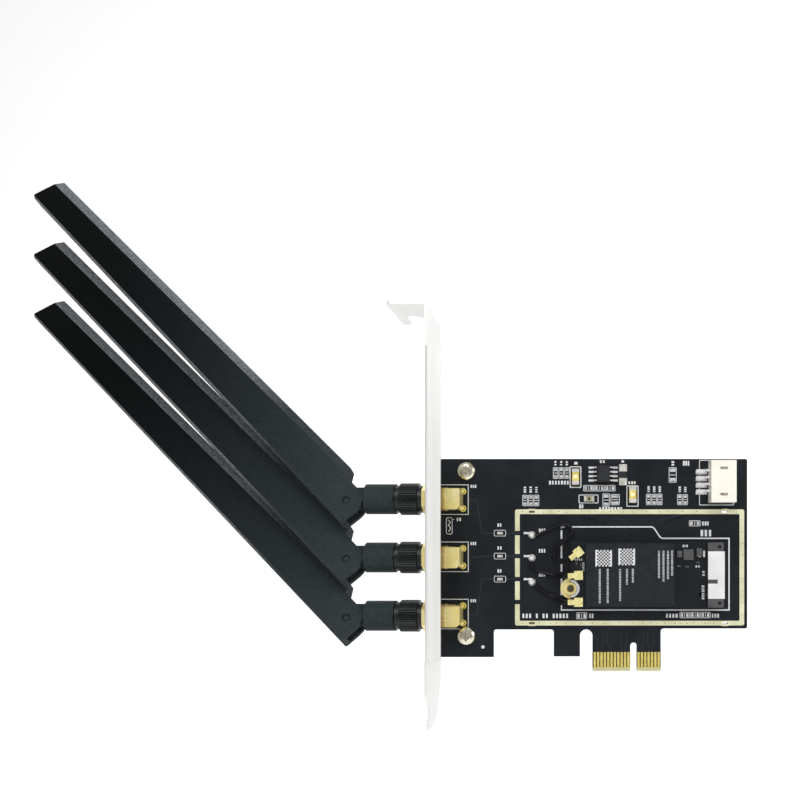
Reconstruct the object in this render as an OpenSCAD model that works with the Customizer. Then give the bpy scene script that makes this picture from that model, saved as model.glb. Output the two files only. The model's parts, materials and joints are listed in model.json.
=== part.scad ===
// Desktop expansion card with a plug-in wireless module, a slot bracket and three hinged antennas.
// Frame: +X along the edge fingers towards the free end of the card, +Y towards the solder side,
// +Z up towards the bracket's tab. The origin is at the foot of the key notch in the edge fingers.

/* [Circuit board] */
// Thickness of the circuit board
board_t = 1.6; // [1.2:0.1:2.0]
// Board beyond the plated ring, at the free end and below
ring_margin = 0.9; // [0.5:0.1:5]
// Board above the upper bracket screw
screw_margin = 3.7; // [3:0.1:10]
// Lower edge of the board beside the edge fingers
shoulder_z = 12.7; // [10.5:0.1:12.9]
// Gap between the board and the bends of the bracket
board_gap = 0.1; // [0.05:0.05:1]
// Foot of the leg beside the bracket
outer_leg_z = 4.2; // [2:0.1:5]
// Foot of the leg beside the edge fingers
inner_leg_z = 4.4; // [2:0.1:5]
// Width of the wide notch between the legs
wide_notch_w = 17.9; // [10:0.1:19]
// Width of the leg beside the edge fingers
inner_leg_w = 7.8; // [5:0.1:10]
// Width of the locating slot beside the edge fingers
locating_slot_w = 3.7; // [3:0.1:4.5]
// Board between the ring's margin and the tops of the notches
notch_margin = 0.3; // [0.2:0.1:3]
// Radius in the corners of the wide notch
notch_r = 0.9; // [0.5:0.1:1.5]
// Radius on the outer corners of the board
corner_r = 0.6; // [0.2:0.1:1.5]

/* [Edge fingers] */
// Pitch of the contacts
finger_pitch = 1.0; // [0.9:0.05:1.1]
// Width of one contact
finger_w = 0.7; // [0.5:0.05:0.75]
// Height of one contact
finger_len = 4.7; // [3.5:0.1:5]
// Lower end of the contacts above the edge
finger_foot = 1.0; // [0.6:0.1:1.4]
// Thickness of the copper and its plating
copper_t = 0.06; // [0.03:0.01:0.1]
// Contacts on the bracket side of the key notch
fingers_near = 11; // [11:1:11]
// Contacts on the far side of the key notch
fingers_far = 7; // [7:1:7]
// Width of the key notch
key_w = 1.9; // [1.7:0.05:2.0]
// Height of the key notch
key_h = 8.5; // [7:0.1:9]
// Board beyond the last contact's centre, on the bracket side and on the far side
tongue_margin = [0.7, 0.6];
// Height and depth of the lead-in bevel along the edge
edge_bevel = [1.2, 0.45];

/* [Slot bracket] */
// Inner face of the bracket plate, measured from the key notch
plate_x = -57.9; // [-58.5:0.1:-57]
// Sheet thickness
sheet_t = 0.86; // [0.7:0.02:1.0]
// Depth of the bracket from front edge to rear edge
bracket_d = 18.42; // [17:0.01:20]
// Front edge of the bracket
bracket_front = -15.8; // [-17:0.1:-14]
// Underside of the top tab
tab_z = 104.0; // [98:0.1:110]
// Reach of the foot below the edge fingers
foot_drop = 15.14; // [12:0.01:20]
// Reach of the top tab, from the inner face of the plate
tab_reach = 11.43; // [10.5:0.01:12.5]
// Width of the screw notch in the top tab
screw_notch_w = 4.6; // [4.4:0.02:4.8]
// Width of the prong outside the screw notch
prong_w = 2.7; // [2.2:0.1:3.2]
// Depth of the screw notch from the rear edge
screw_notch_d = 8.0; // [6:0.1:9]
// Depth of the relief beside the plate
corner_relief_d = 6.4; // [4:0.1:7]
// Width of the stiffening flange along the front edge
flange_w = 3.6; // [2.5:0.1:5]
// Distance of the flange from the shoulders above the foot and from the top tab
flange_margin = [9.2, 11.5];
// Bend radius on the outside of each fold
bend_r = 1.1; // [1.0:0.1:2.0]
// Width of the tongue at the foot
foot_w = 10.19; // [8:0.01:12]
// Length of the foot below the tapered shoulders, and height of the shoulders
foot_len = [6.74, 4.6];
// Outward bend of the foot in degrees
foot_bend = 9; // [0:1:12]
// Length of the bent part of the foot
foot_bend_len = 4.6; // [3:0.1:6]
// Height and reach of the tabs behind the board
rear_tab = [6.0, 12.4];

/* [Bracket screws] */
// Distance of the screws from the bracket plate
screw_reach = 8.4; // [7:0.1:10]
// Distance of the screws from the outer jacks, below and above
screw_from_jack = [6.3, 8.5];
// Shank diameter
screw_d = 3.0; // [2.5:0.1:3]
// Head diameter
screw_head_d = 5.4; // [5:0.1:6]
// Head height
screw_head_h = 2.0; // [1.6:0.1:2.4]

/* [Antenna jacks] */
// Spacing of the three jacks
jack_pitch = 17.0; // [16.9:0.1:20]
// Height of the middle jack
jack_mid_z = 33.9; // [32:0.1:36]
// Height of the jack axis above the board
jack_h = 3.5; // [3.5:0.1:4.5]
// Outside diameter of the threaded barrel
barrel_d = 6.35; // [6:0.05:6.6]
// Length of the barrel outside the bracket
barrel_len = 7.54; // [7:0.01:8]
// Step of the collar above the barrel
collar_step = 0.22; // [0.1:0.02:0.4]
// Length of the collar
collar_len = 3.4; // [2:0.1:4]
// Side of the square body
jack_block = 6.0; // [5.6:0.1:6.2]
// Far side of the square body, from the bracket plate
jack_block_reach = 7.4; // [7:0.1:9]
// Pitch of the four soldered legs
leg_pitch = 5.08; // [5:0.02:5.2]
// Diameter of a leg
leg_d = 1.0; // [0.8:0.05:1.1]
// Wall of the clamping nut at its flats
jack_nut_wall = 0.82; // [0.6:0.02:1]
// Thickness of the clamping nut
jack_nut_t = 2.0; // [1.6:0.1:2.1]
// Thickness of the lock washer
washer_t = 0.5; // [0.4:0.05:0.6]

/* [Antennas] */
// Lean of the top, middle and bottom antenna behind the plane of the board
lean = [25.6, 27.5, 29.6];
// Tilt of the top, middle and bottom blade above the connector axis
tilt = [45.1, 44.1, 43.1];
// Diameter of the swivelling base
base_d = 8.8; // [8.4:0.1:8.9]
// Length of the swivelling base
base_len = 8.5; // [7:0.1:10]
// Gap between the nose of the blade and the base
hinge_gap = 0.55; // [0.3:0.05:1]
// Drop of the hinge pin below the connector axis
hinge_drop = 1.6; // [1.2:0.1:1.7]
// Length of the blade from the hinge pin to the tip
blade_len = 186; // [100:1:200]
// Thickness of the blade
blade_t = 5.0; // [4.6:0.1:5.1]
// Upper side of the blade at the hinge and at the tip, from the pin
blade_high = [7.6, 6.7];
// Lower side of the blade at the hinge and at the tip, from the pin
blade_low = [-5.4, -5.2];
// Width of the upper bevels at the hinge and at the tip
upper_bevel = [2.1, 3.1];
// Rise of the upper bevels for each millimetre of width
upper_bevel_slope = 0.36; // [0.3:0.02:0.5]
// Size of the small lower bevels
lower_bevel = 0.6; // [0.3:0.1:1]
// Radius of the hinge nose
nose_r = 4.75; // [4.4:0.05:4.8]
// Gap between the flat end of the blade and the base
heel_gap = 0.5; // [0.3:0.05:1]
// Diameter of the hinge pin
pin_d = 2.4; // [2:0.1:2.6]
// Thickness of the knuckle between the ears
knuckle_t = 2.7; // [2.4:0.1:3]
// Radius of the knuckle
knuckle_r = 3.4; // [3:0.1:3.5]
// Height of the neck
neck_h = 6.4; // [5:0.1:7]
// Running clearance on radii
run_clear = 0.05; // [0.03:0.01:0.1]
// Side clearance in the hinge
side_clear = 0.1; // [0.05:0.05:0.2]

/* [Coupling nuts] */
// Wall of the coupling nut under the knurl
knurl_wall = 1.425; // [1:0.005:1.7]
// Grooves of the knurl
knurl_count = 40; // [24:2:48]
// Depth of a groove
knurl_depth = 0.28; // [0.15:0.01:0.35]
// Wall and length of the plain band at the open end
nut_front = [0.725, 1.2];
// Wall and length of the plain band at the back
nut_back = [0.775, 1.3];
// Thickness of the nut's back wall
nut_wall = 1.7; // [1:0.1:2]

/* [Wireless module] */
// Length of the module board
module_len = 42.0; // [41:0.5:43]
// Width of the module board
module_w = 19.6; // [19:0.1:22]
// Thickness of the module board
module_t = 0.8; // [0.7:0.1:0.9]
// Height of the module board above the main board
module_h = 2.5; // [2.2:0.1:3]
// End of the module board over the standoff
module_end = -18.6; // [-19:0.1:-18]
// Lower side of the module board
module_foot_z = 19.0; // [18.6:0.1:19.4]
// Height of the shield can
can_h = 1.3; // [1:0.1:1.6]
// Distance of the shield can from the two ends of the module board
can_from_ends = [4.4, 11.8];
// Distance of the shield can from the sides of the module board
can_from_sides = 0.6; // [0.3:0.1:2]
// Height of the hold-down hole above the lower side of the module board
notch_from_foot = 5.8; // [5:0.1:7]

/* [Module socket] */
// Depth of the socket along the module
socket_d = 4.6; // [4:0.1:5]
// Height of the socket above the module board
socket_roof = 0.9; // [0.6:0.05:1.5]
// How far the module board reaches into the socket
socket_grip = 2.0; // [1.5:0.1:2.5]
// Pitch of the socket contacts
socket_pitch = 0.5; // [0.5:0.1:0.8]

/* [Cable header] */
// Pitch of the header pins
header_pitch = 2.0; // [1.8:0.1:2.2]
// Number of header pins
header_pins_n = 4; // [2:1:4]
// Distance of the back of the housing from the free end of the board
header_from_end = 11.6; // [10:0.1:14]
// Rise of the pins above the middle of the header
header_pin_rise = 0.35; // [0:0.05:0.5]
// Depth of the housing
header_d = 7.3; // [6.5:0.1:8]
// Lower side and upper side of the housing
header_z = [50.0, 62.2];
// Height of the housing
header_h = 5.2; // [4.8:0.1:6]
// Wall of the housing
header_wall = 0.8; // [0.6:0.05:1]

/* [Hidden] */
$fn = 64;
fine = 48;
fit = 0.03;

// Row of an antenna: 1 is the top one, 0 the middle one and -1 the bottom one
top_row = 1;
middle_row = 0;
bottom_row = -1;
rows = [top_row, middle_row, bottom_row];

plate_out = plate_x - sheet_t;
bracket_rear = bracket_front + bracket_d;
front_y = -board_t / 2;
rear_y = board_t / 2;
foot_z = -foot_drop;
shoulder_low_z = foot_z + foot_len[0];
shoulder_high_z = shoulder_low_z + foot_len[1];
flange_z = [shoulder_high_z + flange_margin[0], tab_z - flange_margin[1]];
screw_x = plate_x + screw_reach;
screw_z = [
    jack_mid_z - jack_pitch - screw_from_jack[0],
    jack_mid_z + jack_pitch + screw_from_jack[1]
];

// Edge of the board, from the bracket round to the free end
key_gap = 3 * finger_pitch;
tongue_left = -key_gap / 2 - (fingers_near - 1) * finger_pitch - tongue_margin[0];
tongue_right = key_gap / 2 + (fingers_far - 1) * finger_pitch + tongue_margin[1];
locating_slot_x = [tongue_left - locating_slot_w, tongue_left];
inner_leg_x = locating_slot_x[0] - inner_leg_w;
wide_notch_x = [inner_leg_x - wide_notch_w, inner_leg_x];
notch_top_z = shoulder_z - notch_margin;
board_left = plate_x + bend_r - sheet_t + board_gap;
board_top = screw_z[1] + screw_margin;
jack_y = front_y - jack_h;
jack_x = plate_x + jack_block_reach;
leg_x = jack_x - 0.2;
pin_leg_x = leg_x - leg_pitch / 2;
barrel_end = plate_out - barrel_len;
collar_d = barrel_d + 2 * collar_step;
jack_nut_af = barrel_d + 2 * jack_nut_wall;
counterbore_d = barrel_d - 1.65;
counterbore_len = 1.9;
dielectric_d = counterbore_d - 0.6;
contact_d = 0.9;

// Places along the connector axis, from the bracket outwards
nut_open_end = plate_out - washer_t - jack_nut_t - 0.24;
nut_bore_d = barrel_d + 2 * run_clear;
knurl_d = nut_bore_d + 2 * knurl_wall;
ferrule_d = counterbore_d + 0.3;
ferrule_depth = 4.0;
ferrule_flange_t = 0.7;
ferrule_flange_x = barrel_end - 0.4 - ferrule_flange_t;
nut_back_end = ferrule_flange_x - side_clear - nut_wall;
base_start = nut_back_end - 0.25;
base_end = base_start - base_len;
hinge_reach = nose_r + hinge_gap;
pin_x = base_end - hinge_reach;
plug_face = barrel_end + counterbore_len - 0.1;
slot_t = knuckle_t + 2 * side_clear;
slot_root = neck_h / 2 + hinge_drop + 0.5;
stop_start = base_d / 2 + hinge_drop + 0.4;
stop_run = 1.9;

// The feed lines cross the ground ring at these heights
ring_w = 1.4;
ring_gap = 1.3;
ring_gap_pitch = 6.83;
ring_gap_top = 41.05;
ring_slot = [1.8, 0.6];

standoff_x = module_end;
standoff_z = module_foot_z + notch_from_foot;
module_top = module_h + module_t;
module_far = module_end + module_len;
socket_x = module_far - socket_grip;
socket_z = [module_foot_z + 0.3, module_foot_z + module_w - 0.3];
socket_h = module_top + socket_roof;
can_box = [
    module_end + can_from_ends[0],
    module_far - can_from_ends[1],
    module_foot_z + can_from_sides,
    module_foot_z + module_w - can_from_sides
];

// Left side, right side, lower side and upper side of the plated ring
ring_outer = [-35.2, socket_x + socket_d + 6.9, shoulder_z + ring_margin, 48.1];
ring_slot_x = [ring_outer[0] + 5, ring_outer[1] - 5.7];
board_right = ring_outer[1] + ring_margin;
header_x = board_right - header_from_end;
plug_x = -16.4;
plug_z = [35.4, 28.7, 20.9];
plug_turn = [38, 2, 0];
plug_h = module_top + 0.3;
plug_axis_h = 0.9;
plug_bore = 3.0;
joint_x = -30.2;
joint_z = [40.5, 33.7, 26.5];
joint_turn = [0, -90, -42];
joint_d = 2.2;
cable_d = 1.0;

// Puts a plan drawn in X and Z on the component side, with heights growing towards the viewer
module on_board(h = 0) {
    translate([0, front_y, 0]) rotate([90, 0, 0]) translate([0, 0, h]) children();
}

// Stands a profile drawn in Y and Z upright, and gives it a thickness along +X from x
module side_profile(x, t) {
    translate([x, 0, 0]) rotate([90, 0, 90]) linear_extrude(t) children();
}

// A round bar along X between two places, on the connector axis
module bar(d, x0, x1) {
    translate([min(x0, x1), 0, 0]) rotate([0, 90, 0]) cylinder(d = d, h = abs(x1 - x0));
}

module rounded_rect(x0, x1, y0, y1, r) {
    translate([x0 + r, y0]) square([x1 - x0 - 2 * r, y1 - y0]);
    translate([x0, y0 + r]) square([x1 - x0, y1 - y0 - 2 * r]);
    for (x = [x0 + r, x1 - r], y = [y0 + r, y1 - r]) translate([x, y]) circle(r, $fn = fine);
}

module box_between(x0, x1, y0, y1, h) {
    translate([x0, y0, 0]) linear_extrude(h) square([x1 - x0, y1 - y0]);
}

// An upright slot with a round top, drawn from below the edge
module round_top_slot(x0, x1, top) {
    r = (x1 - x0) / 2;
    translate([x0, -1]) square([x1 - x0, top - r + 1]);
    translate([x0 + r, top - r]) circle(r, $fn = fine);
}

// Moves a child to the axis of a jack
module at_jack(row) {
    translate([0, jack_y, jack_mid_z + row * jack_pitch]) children();
}

// Turns a child with the swivelling part of an antenna
module on_swivel(row) {
    at_jack(row) rotate([-lean[top_row - row], 0, 0]) children();
}

// Draws a child in the frame of a blade: x towards the tip, y towards its upper side
module on_blade(row) {
    on_swivel(row) translate([pin_x, 0, -hinge_drop]) rotate([0, tilt[top_row - row], 0])
        rotate([90, 0, 180]) children();
}

// Circuit board with its legs, key notch and drilled holes

module jack_leg_centres() {
    for (dx = [0, -leg_pitch], dz = [-leg_pitch / 2, leg_pitch / 2])
        translate([leg_x + dx, dz]) children();
}

module board_outline() {
    difference() {
        union() {
            rounded_rect(board_left, board_right, shoulder_z, board_top, corner_r);
            translate([board_left, 0]) square([tongue_right - board_left, shoulder_z + 2]);
            translate([tongue_right, shoulder_z - notch_r]) square([notch_r, notch_r + 1]);
        }
        translate([tongue_right + notch_r, shoulder_z - notch_r]) circle(notch_r, $fn = fine);
        translate([board_left - 1, -1]) square([tongue_left - board_left - 2, outer_leg_z + 1]);
        translate([wide_notch_x[1], -1])
            square([tongue_left - wide_notch_x[1] - 1, inner_leg_z + 1]);
        rounded_rect(wide_notch_x[0], wide_notch_x[1], -4, notch_top_z, notch_r);
        round_top_slot(locating_slot_x[0], locating_slot_x[1], notch_top_z);
        round_top_slot(-key_w / 2, key_w / 2, key_h);
        for (z = screw_z) translate([screw_x, z]) circle(d = screw_d + 0.2);
        for (row = rows) translate([0, jack_mid_z + row * jack_pitch]) {
            jack_leg_centres() circle(d = leg_d + 0.3, $fn = fine);
            translate([pin_leg_x, 0]) circle(d = contact_d + 0.3, $fn = fine);
        }
        ring_slots();
    }
}

module edge_bevels() {
    for (side = [-1, 1])
        side_profile(board_left - 1, board_right - board_left + 2)
            polygon([
                [side * (board_t / 2 + 0.1), -0.1],
                [side * (board_t / 2 - edge_bevel[1]), -0.1],
                [side * (board_t / 2 - edge_bevel[1]), 0],
                [side * board_t / 2, edge_bevel[0]],
                [side * (board_t / 2 + 0.1), edge_bevel[0]]
            ]);
}

module circuit_board() {
    color([0.11, 0.12, 0.14]) difference() {
        on_board(-board_t) linear_extrude(board_t) board_outline();
        edge_bevels();
    }
}

module edge_contacts() {
    near = [for (i = [0:fingers_near - 1]) -key_gap / 2 - i * finger_pitch];
    far = [for (i = [0:fingers_far - 1]) key_gap / 2 + i * finger_pitch];
    color([0.86, 0.7, 0.3])
        for (x = concat(near, far), h = [0, -board_t - copper_t])
            on_board(h) translate([x - finger_w / 2, finger_foot + edge_bevel[0] / 2, 0])
                cube([finger_w, finger_len - edge_bevel[0] / 2, copper_t]);
}

// Plated ring that frames the module, open where the feed lines cross it

module ring_slots() {
    for (x = ring_slot_x, z = [ring_outer[2] + ring_w / 2, ring_outer[3] - ring_w / 2])
        rounded_rect(x - ring_slot[0] / 2, x + ring_slot[0] / 2,
            z - ring_slot[1] / 2, z + ring_slot[1] / 2, ring_slot[1] / 2 - 0.01);
}

module ring_outline() {
    difference() {
        union() {
            rounded_rect(ring_outer[0], ring_outer[1], ring_outer[2], ring_outer[3], corner_r);
            for (x = ring_slot_x, z = [ring_outer[2] + ring_w / 2, ring_outer[3] - ring_w / 2])
                rounded_rect(x - 1.5, x + 1.5, z - 0.85, z + 0.85, 0.8);
        }
        rounded_rect(ring_outer[0] + ring_w, ring_outer[1] - ring_w,
            ring_outer[2] + ring_w, ring_outer[3] - ring_w, corner_r / 2);
        for (i = [0:3])
            translate([ring_outer[0] - 1, ring_gap_top - i * ring_gap_pitch - ring_gap / 2])
                square([ring_w + 2, ring_gap]);
        ring_slots();
    }
}

module ground_ring() {
    color([0.93, 0.88, 0.62]) on_board() linear_extrude(copper_t) ring_outline();
}

// Folded sheet bracket: plate, top tab, front flange, two rear tabs and the bent foot

// Section of a fold with one arm along -x and one along -y, outer corner at the origin
module fold_section(arm_x, arm_y) {
    translate([-arm_x, -sheet_t]) square([arm_x - bend_r, sheet_t]);
    translate([-sheet_t, -arm_y]) square([sheet_t, arm_y - bend_r]);
    translate([-bend_r, -bend_r]) intersection() {
        difference() {
            circle(bend_r, $fn = fine);
            circle(bend_r - sheet_t, $fn = fine);
        }
        square(bend_r);
    }
}

module plate_outline() {
    side = (bracket_d - foot_w) / 2;
    polygon([
        [bracket_front + bend_r, tab_z + sheet_t - bend_r],
        [bracket_front, tab_z + sheet_t - bend_r],
        [bracket_front, flange_z[1]],
        [bracket_front + bend_r, flange_z[1]],
        [bracket_front + bend_r, flange_z[0]],
        [bracket_front, flange_z[0]],
        [bracket_front, shoulder_high_z],
        [bracket_front + side, shoulder_low_z],
        [bracket_front + side, foot_z + foot_bend_len],
        [bracket_rear - side, foot_z + foot_bend_len],
        [bracket_rear - side, shoulder_low_z],
        [bracket_rear, shoulder_high_z],
        [bracket_rear, tab_z + sheet_t - bend_r]
    ]);
}

module plate() {
    relief = 0.6;
    difference() {
        side_profile(plate_out, sheet_t) plate_outline();
        for (z = screw_z)
            translate([plate_out - 1, rear_y + sheet_t - bend_r, z - rear_tab[0] / 2 - relief])
                cube([sheet_t + 2, bracket_d, rear_tab[0] + 2 * relief]);
        for (row = rows) at_jack(row) bar(barrel_d + 0.2, plate_out - 1, plate_x + 1);
    }
}

module front_flange() {
    chamfer = 0.9;
    translate([plate_out, bracket_front, flange_z[0]]) difference() {
        linear_extrude(flange_z[1] - flange_z[0]) mirror([1, 0, 0]) mirror([0, 1, 0])
            fold_section(flange_w + sheet_t, bend_r + 1);
        translate([flange_w + sheet_t, -1, flange_z[1] - flange_z[0]])
            rotate([0, 45, 0]) cube([2 * chamfer, 4, 2 * chamfer], center = true);
    }
}

module rear_tabs() {
    for (z = screw_z) difference() {
        translate([plate_out, rear_y + sheet_t, z - rear_tab[0] / 2])
            linear_extrude(rear_tab[0]) mirror([1, 0, 0])
                fold_section(rear_tab[1] + sheet_t, bend_r + 1);
        translate([screw_x, 0, z]) rotate([-90, 0, 0]) cylinder(d = screw_d, h = 8);
        for (dz = [-rear_tab[0] / 2, rear_tab[0] / 2])
            translate([plate_x + rear_tab[1], rear_y, z + dz]) rotate([0, 45, 0])
                cube([2, 4, 2], center = true);
    }
}

module tab_outline() {
    notch_x = plate_x - tab_reach + prong_w;
    difference() {
        translate([plate_x - tab_reach, bracket_front]) square([tab_reach - bend_r, bracket_d]);
        translate([notch_x, bracket_rear - screw_notch_d + screw_notch_w / 2])
            square([screw_notch_w, screw_notch_d]);
        translate([notch_x + screw_notch_w / 2, bracket_rear - screw_notch_d + screw_notch_w / 2])
            circle(d = screw_notch_w);
        translate([notch_x + screw_notch_w - 1, bracket_rear - corner_relief_d])
            square([tab_reach, bracket_d]);
        translate([plate_x - tab_reach, bracket_front]) rotate(45)
            square(1.2, center = true);
    }
}

module top_tab() {
    translate([0, 0, tab_z]) linear_extrude(sheet_t) tab_outline();
    translate([plate_x, bracket_front, tab_z + sheet_t]) rotate([-90, 0, 0])
        linear_extrude(bracket_d - corner_relief_d) mirror([0, 1, 0])
            fold_section(bend_r + 0.01, bend_r + 0.01);
    translate([plate_x, bracket_rear - corner_relief_d, tab_z + sheet_t - bend_r])
        translate([-sheet_t, 0, -1]) cube([sheet_t, corner_relief_d, 1]);
}

module bent_foot() {
    side = (bracket_d - foot_w) / 2;
    chamfer = 1.4;
    translate([plate_x, 0, foot_z + foot_bend_len]) rotate([0, foot_bend, 0])
        side_profile(-sheet_t, sheet_t) polygon([
            [bracket_front + side, 0.1],
            [bracket_front + side, chamfer - foot_bend_len],
            [bracket_front + side + chamfer, -foot_bend_len],
            [bracket_rear - side - chamfer, -foot_bend_len],
            [bracket_rear - side, chamfer - foot_bend_len],
            [bracket_rear - side, 0.1]
        ]);
}

module bracket() {
    color([0.88, 0.88, 0.86]) {
        plate();
        front_flange();
        rear_tabs();
        top_tab();
        bent_foot();
    }
}

module bracket_screws() {
    color([0.72, 0.7, 0.6]) for (z = screw_z)
        translate([screw_x, front_y, z]) rotate([90, 0, 0]) difference() {
            union() {
                rotate_extrude() polygon([
                    [0, 0], [screw_head_d / 2, 0], [screw_head_d / 2, screw_head_h * 0.45],
                    [screw_head_d * 0.46, screw_head_h * 0.72],
                    [screw_head_d * 0.36, screw_head_h * 0.93],
                    [screw_head_d * 0.22, screw_head_h], [0, screw_head_h]
                ]);
                translate([0, 0, -board_t - sheet_t - 0.8])
                    cylinder(d = screw_d - 0.04, h = board_t + sheet_t + 0.9);
            }
            for (turn = [0, 90]) rotate(turn)
                translate([-1.5, -0.3, screw_head_h - 1.1]) cube([3, 0.6, 2]);
        }
}

// Antenna jacks: threaded barrel, collar, square body and four legs turned and milled in brass

module jack_body(row) {
    color([0.85, 0.68, 0.34]) {
        at_jack(row) difference() {
            union() {
                bar(barrel_d, barrel_end, jack_x - 2);
                bar(collar_d, plate_x, plate_x + collar_len);
                translate([jack_x - 5.8, -jack_block / 2 - 0.2, -jack_block / 2])
                    cube([5.8, jack_block, jack_block]);
            }
            bar(counterbore_d, barrel_end - 1, barrel_end + counterbore_len);
            bar(dielectric_d, barrel_end, jack_x - 1);
            translate([pin_leg_x, 0, 0]) rotate([-90, 0, 0]) cylinder(d = 1.8, h = 6);
            translate([jack_x, 0, -jack_block / 2]) rotate([0, 45, 0])
                cube([1.3, 2 * jack_block, 1.3], center = true);
            translate([barrel_end, 0, 0]) difference() {
                translate([-1, -5, -5]) cube([1.5, 10, 10]);
                rotate([0, 90, 0]) translate([0, 0, -1.01])
                    cylinder(d1 = barrel_d - 3, d2 = barrel_d, h = 1.6);
            }
        }
        at_jack(row) rotate([90, 0, 0]) translate([0, 0, -jack_h - board_t - 0.7])
            jack_leg_centres() cylinder(d = leg_d, h = jack_h + board_t - 1.2, $fn = fine);
    }
}

module jack_inserts() {
    color([0.95, 0.95, 0.93]) for (row = rows) at_jack(row) difference() {
        bar(dielectric_d - fit, barrel_end + counterbore_len, jack_x - 1);
        bar(contact_d + fit, barrel_end, pin_leg_x + 0.5);
        translate([pin_leg_x, 0, 0]) rotate([-90, 0, 0]) cylinder(d = contact_d + fit, h = 6);
    }
}

module jack_contacts() {
    color([0.9, 0.75, 0.4]) for (row = rows) at_jack(row) {
        bar(contact_d, barrel_end + 0.4, pin_leg_x + contact_d / 2);
        translate([pin_leg_x, 0, 0]) rotate([-90, 0, 0])
            cylinder(d = contact_d, h = jack_h + board_t + 0.7);
    }
}

module jack_nuts() {
    nut_x = plate_out - washer_t - jack_nut_t;
    color([0.87, 0.72, 0.42]) for (row = rows) at_jack(row) difference() {
        translate([nut_x, 0, 0]) rotate([0, 90, 0])
            cylinder(d = jack_nut_af / cos(30), h = jack_nut_t, $fn = 6);
        bar(barrel_d + 0.04, nut_x - 1, nut_x + jack_nut_t + 1);
    }
}

module jack_washers() {
    teeth = 10;
    washer_x = plate_out - washer_t;
    color([0.8, 0.74, 0.56]) for (row = rows) at_jack(row) difference() {
        bar(jack_nut_af + 0.6, washer_x, plate_out);
        bar(barrel_d + 0.3, washer_x - 1, plate_out + 1);
        for (i = [0:teeth - 1]) rotate([i * 360 / teeth, 0, 0])
            translate([washer_x - 1, -0.35, barrel_d / 2]) cube([washer_t + 2, 0.7, 0.7]);
    }
}

// Wireless module with its shield can, chips and coaxial receptacles

module module_board() {
    color([0.1, 0.12, 0.13]) on_board(module_h) linear_extrude(module_t) difference() {
        translate([module_end, module_foot_z]) square([module_len, module_w]);
        translate([standoff_x, standoff_z]) circle(d = 3.6);
        translate([module_end + module_len - 4.4, module_foot_z + 4.4])
            round_top_slot(0, 0.8, 0.4);
    }
}

module module_shield() {
    roll = 0.5;
    color([0.14, 0.15, 0.17]) on_board(module_top) difference() {
        linear_extrude(can_h)
            rounded_rect(can_box[0], can_box[1], can_box[2], can_box[3], roll);
        translate([0, 0, -0.01]) linear_extrude(can_h - 0.2)
            rounded_rect(can_box[0] + 0.2, can_box[1] - 0.2,
                can_box[2] + 0.2, can_box[3] - 0.2, roll - 0.2);
    }
}

// Small soldered part with a metal cap on each end, lying along x or, turned, along y
module capped_chip(x, y, size, turn = 0, share = 0.22) {
    cap = size[0] * share;
    translate([x, y, 0]) rotate(turn) {
        translate([-size[0] / 2 + cap / 2, -size[1] / 2 + 0.04, 0])
            cube([size[0] - cap, size[1] - 0.08, size[2] - 0.04]);
        for (side = [-1, 1])
            translate([side * (size[0] - cap) / 2 - cap / 2, -size[1] / 2, 0])
                cube([cap, size[1], size[2]]);
    }
}

module module_chips() {
    small_chip = [1.0, 0.5, 0.4];
    color([0.6, 0.6, 0.58]) on_board(module_top) {
        capped_chip(module_far - 10.2, 34.9, [1.9, 1.5, 0.7], 90);
        box_between(module_far - 9.1, module_far - 6.2, 33.2, 36.3, 0.9);
        capped_chip(module_far - 4.5, 35.4, [2.3, 1.6, 0.9], 90);
        for (chip = [[10.4, 31.4], [8.0, 31.2], [4.8, 32.4]])
            capped_chip(module_far - chip[0], chip[1], small_chip);
        for (chip = [[1.7, 32.2], [3.0, 31.6]])
            capped_chip(module_end + chip[0], chip[1], small_chip, 90);
    }
}

module module_receptacles() {
    color([0.9, 0.8, 0.5]) for (z = plug_z) on_board(module_top)
        translate([plug_x, z, 0]) {
            translate([-1.1, -1.1, 0]) cube([2.2, 2.2, 0.3]);
            difference() {
                cylinder(d = 1.5, h = 0.9);
                translate([0, 0, 0.3]) cylinder(d = 1.1, h = 1);
            }
            cylinder(d = 0.35, h = 0.8, $fn = 24);
        }
}

module module_standoff() {
    boss_d = 3.4;
    color([0.85, 0.74, 0.42]) on_board() translate([standoff_x, standoff_z, 0]) difference() {
        union() {
            cylinder(d = 6.0, h = module_h);
            cylinder(d = boss_d, h = module_top + 0.3);
        }
        translate([0, 0, 0.6]) cylinder(d = 2.2, h = 6);
        translate([0, 0, module_top]) cylinder(d1 = 2.2, d2 = 2.9, h = 0.31);
    }
}

module socket_housing() {
    slot_h = module_t + 0.2;
    color([0.2, 0.2, 0.21]) {
        on_board() difference() {
            box_between(socket_x, socket_x + socket_d, socket_z[0], socket_z[1], socket_h);
            translate([socket_x - 1, module_foot_z - 1, module_h - 0.1])
                cube([socket_grip + 1.2, module_w + 2, slot_h]);
            translate([socket_x - 1, socket_z[0] + 2.6, socket_h - 0.15])
                cube([socket_d + 2, socket_z[1] - socket_z[0] - 5.2, 1]);
            for (i = [0:socket_contact_n - 1])
                translate([socket_x + socket_grip, socket_contact_z(i) - 0.15, -0.01])
                    cube([socket_d, 0.3, module_h + 0.8]);
            for (z = [socket_z[0] + 1.3, socket_z[1] - 1.3])
                translate([socket_x + socket_d - 1.2, z, socket_h - 1])
                    cylinder(d = 1.0, h = 2, $fn = fine);
        }
        on_board() for (z = [socket_z[0], socket_z[1] - 0.9])
            box_between(socket_x - 1.6, socket_x + 0.1, z, z + 0.9, module_h - 0.3);
    }
}

socket_contact_n = 28;
function socket_contact_z(i) =
    (socket_z[0] + socket_z[1]) / 2 + (i - (socket_contact_n - 1) / 2) * socket_pitch;

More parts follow.
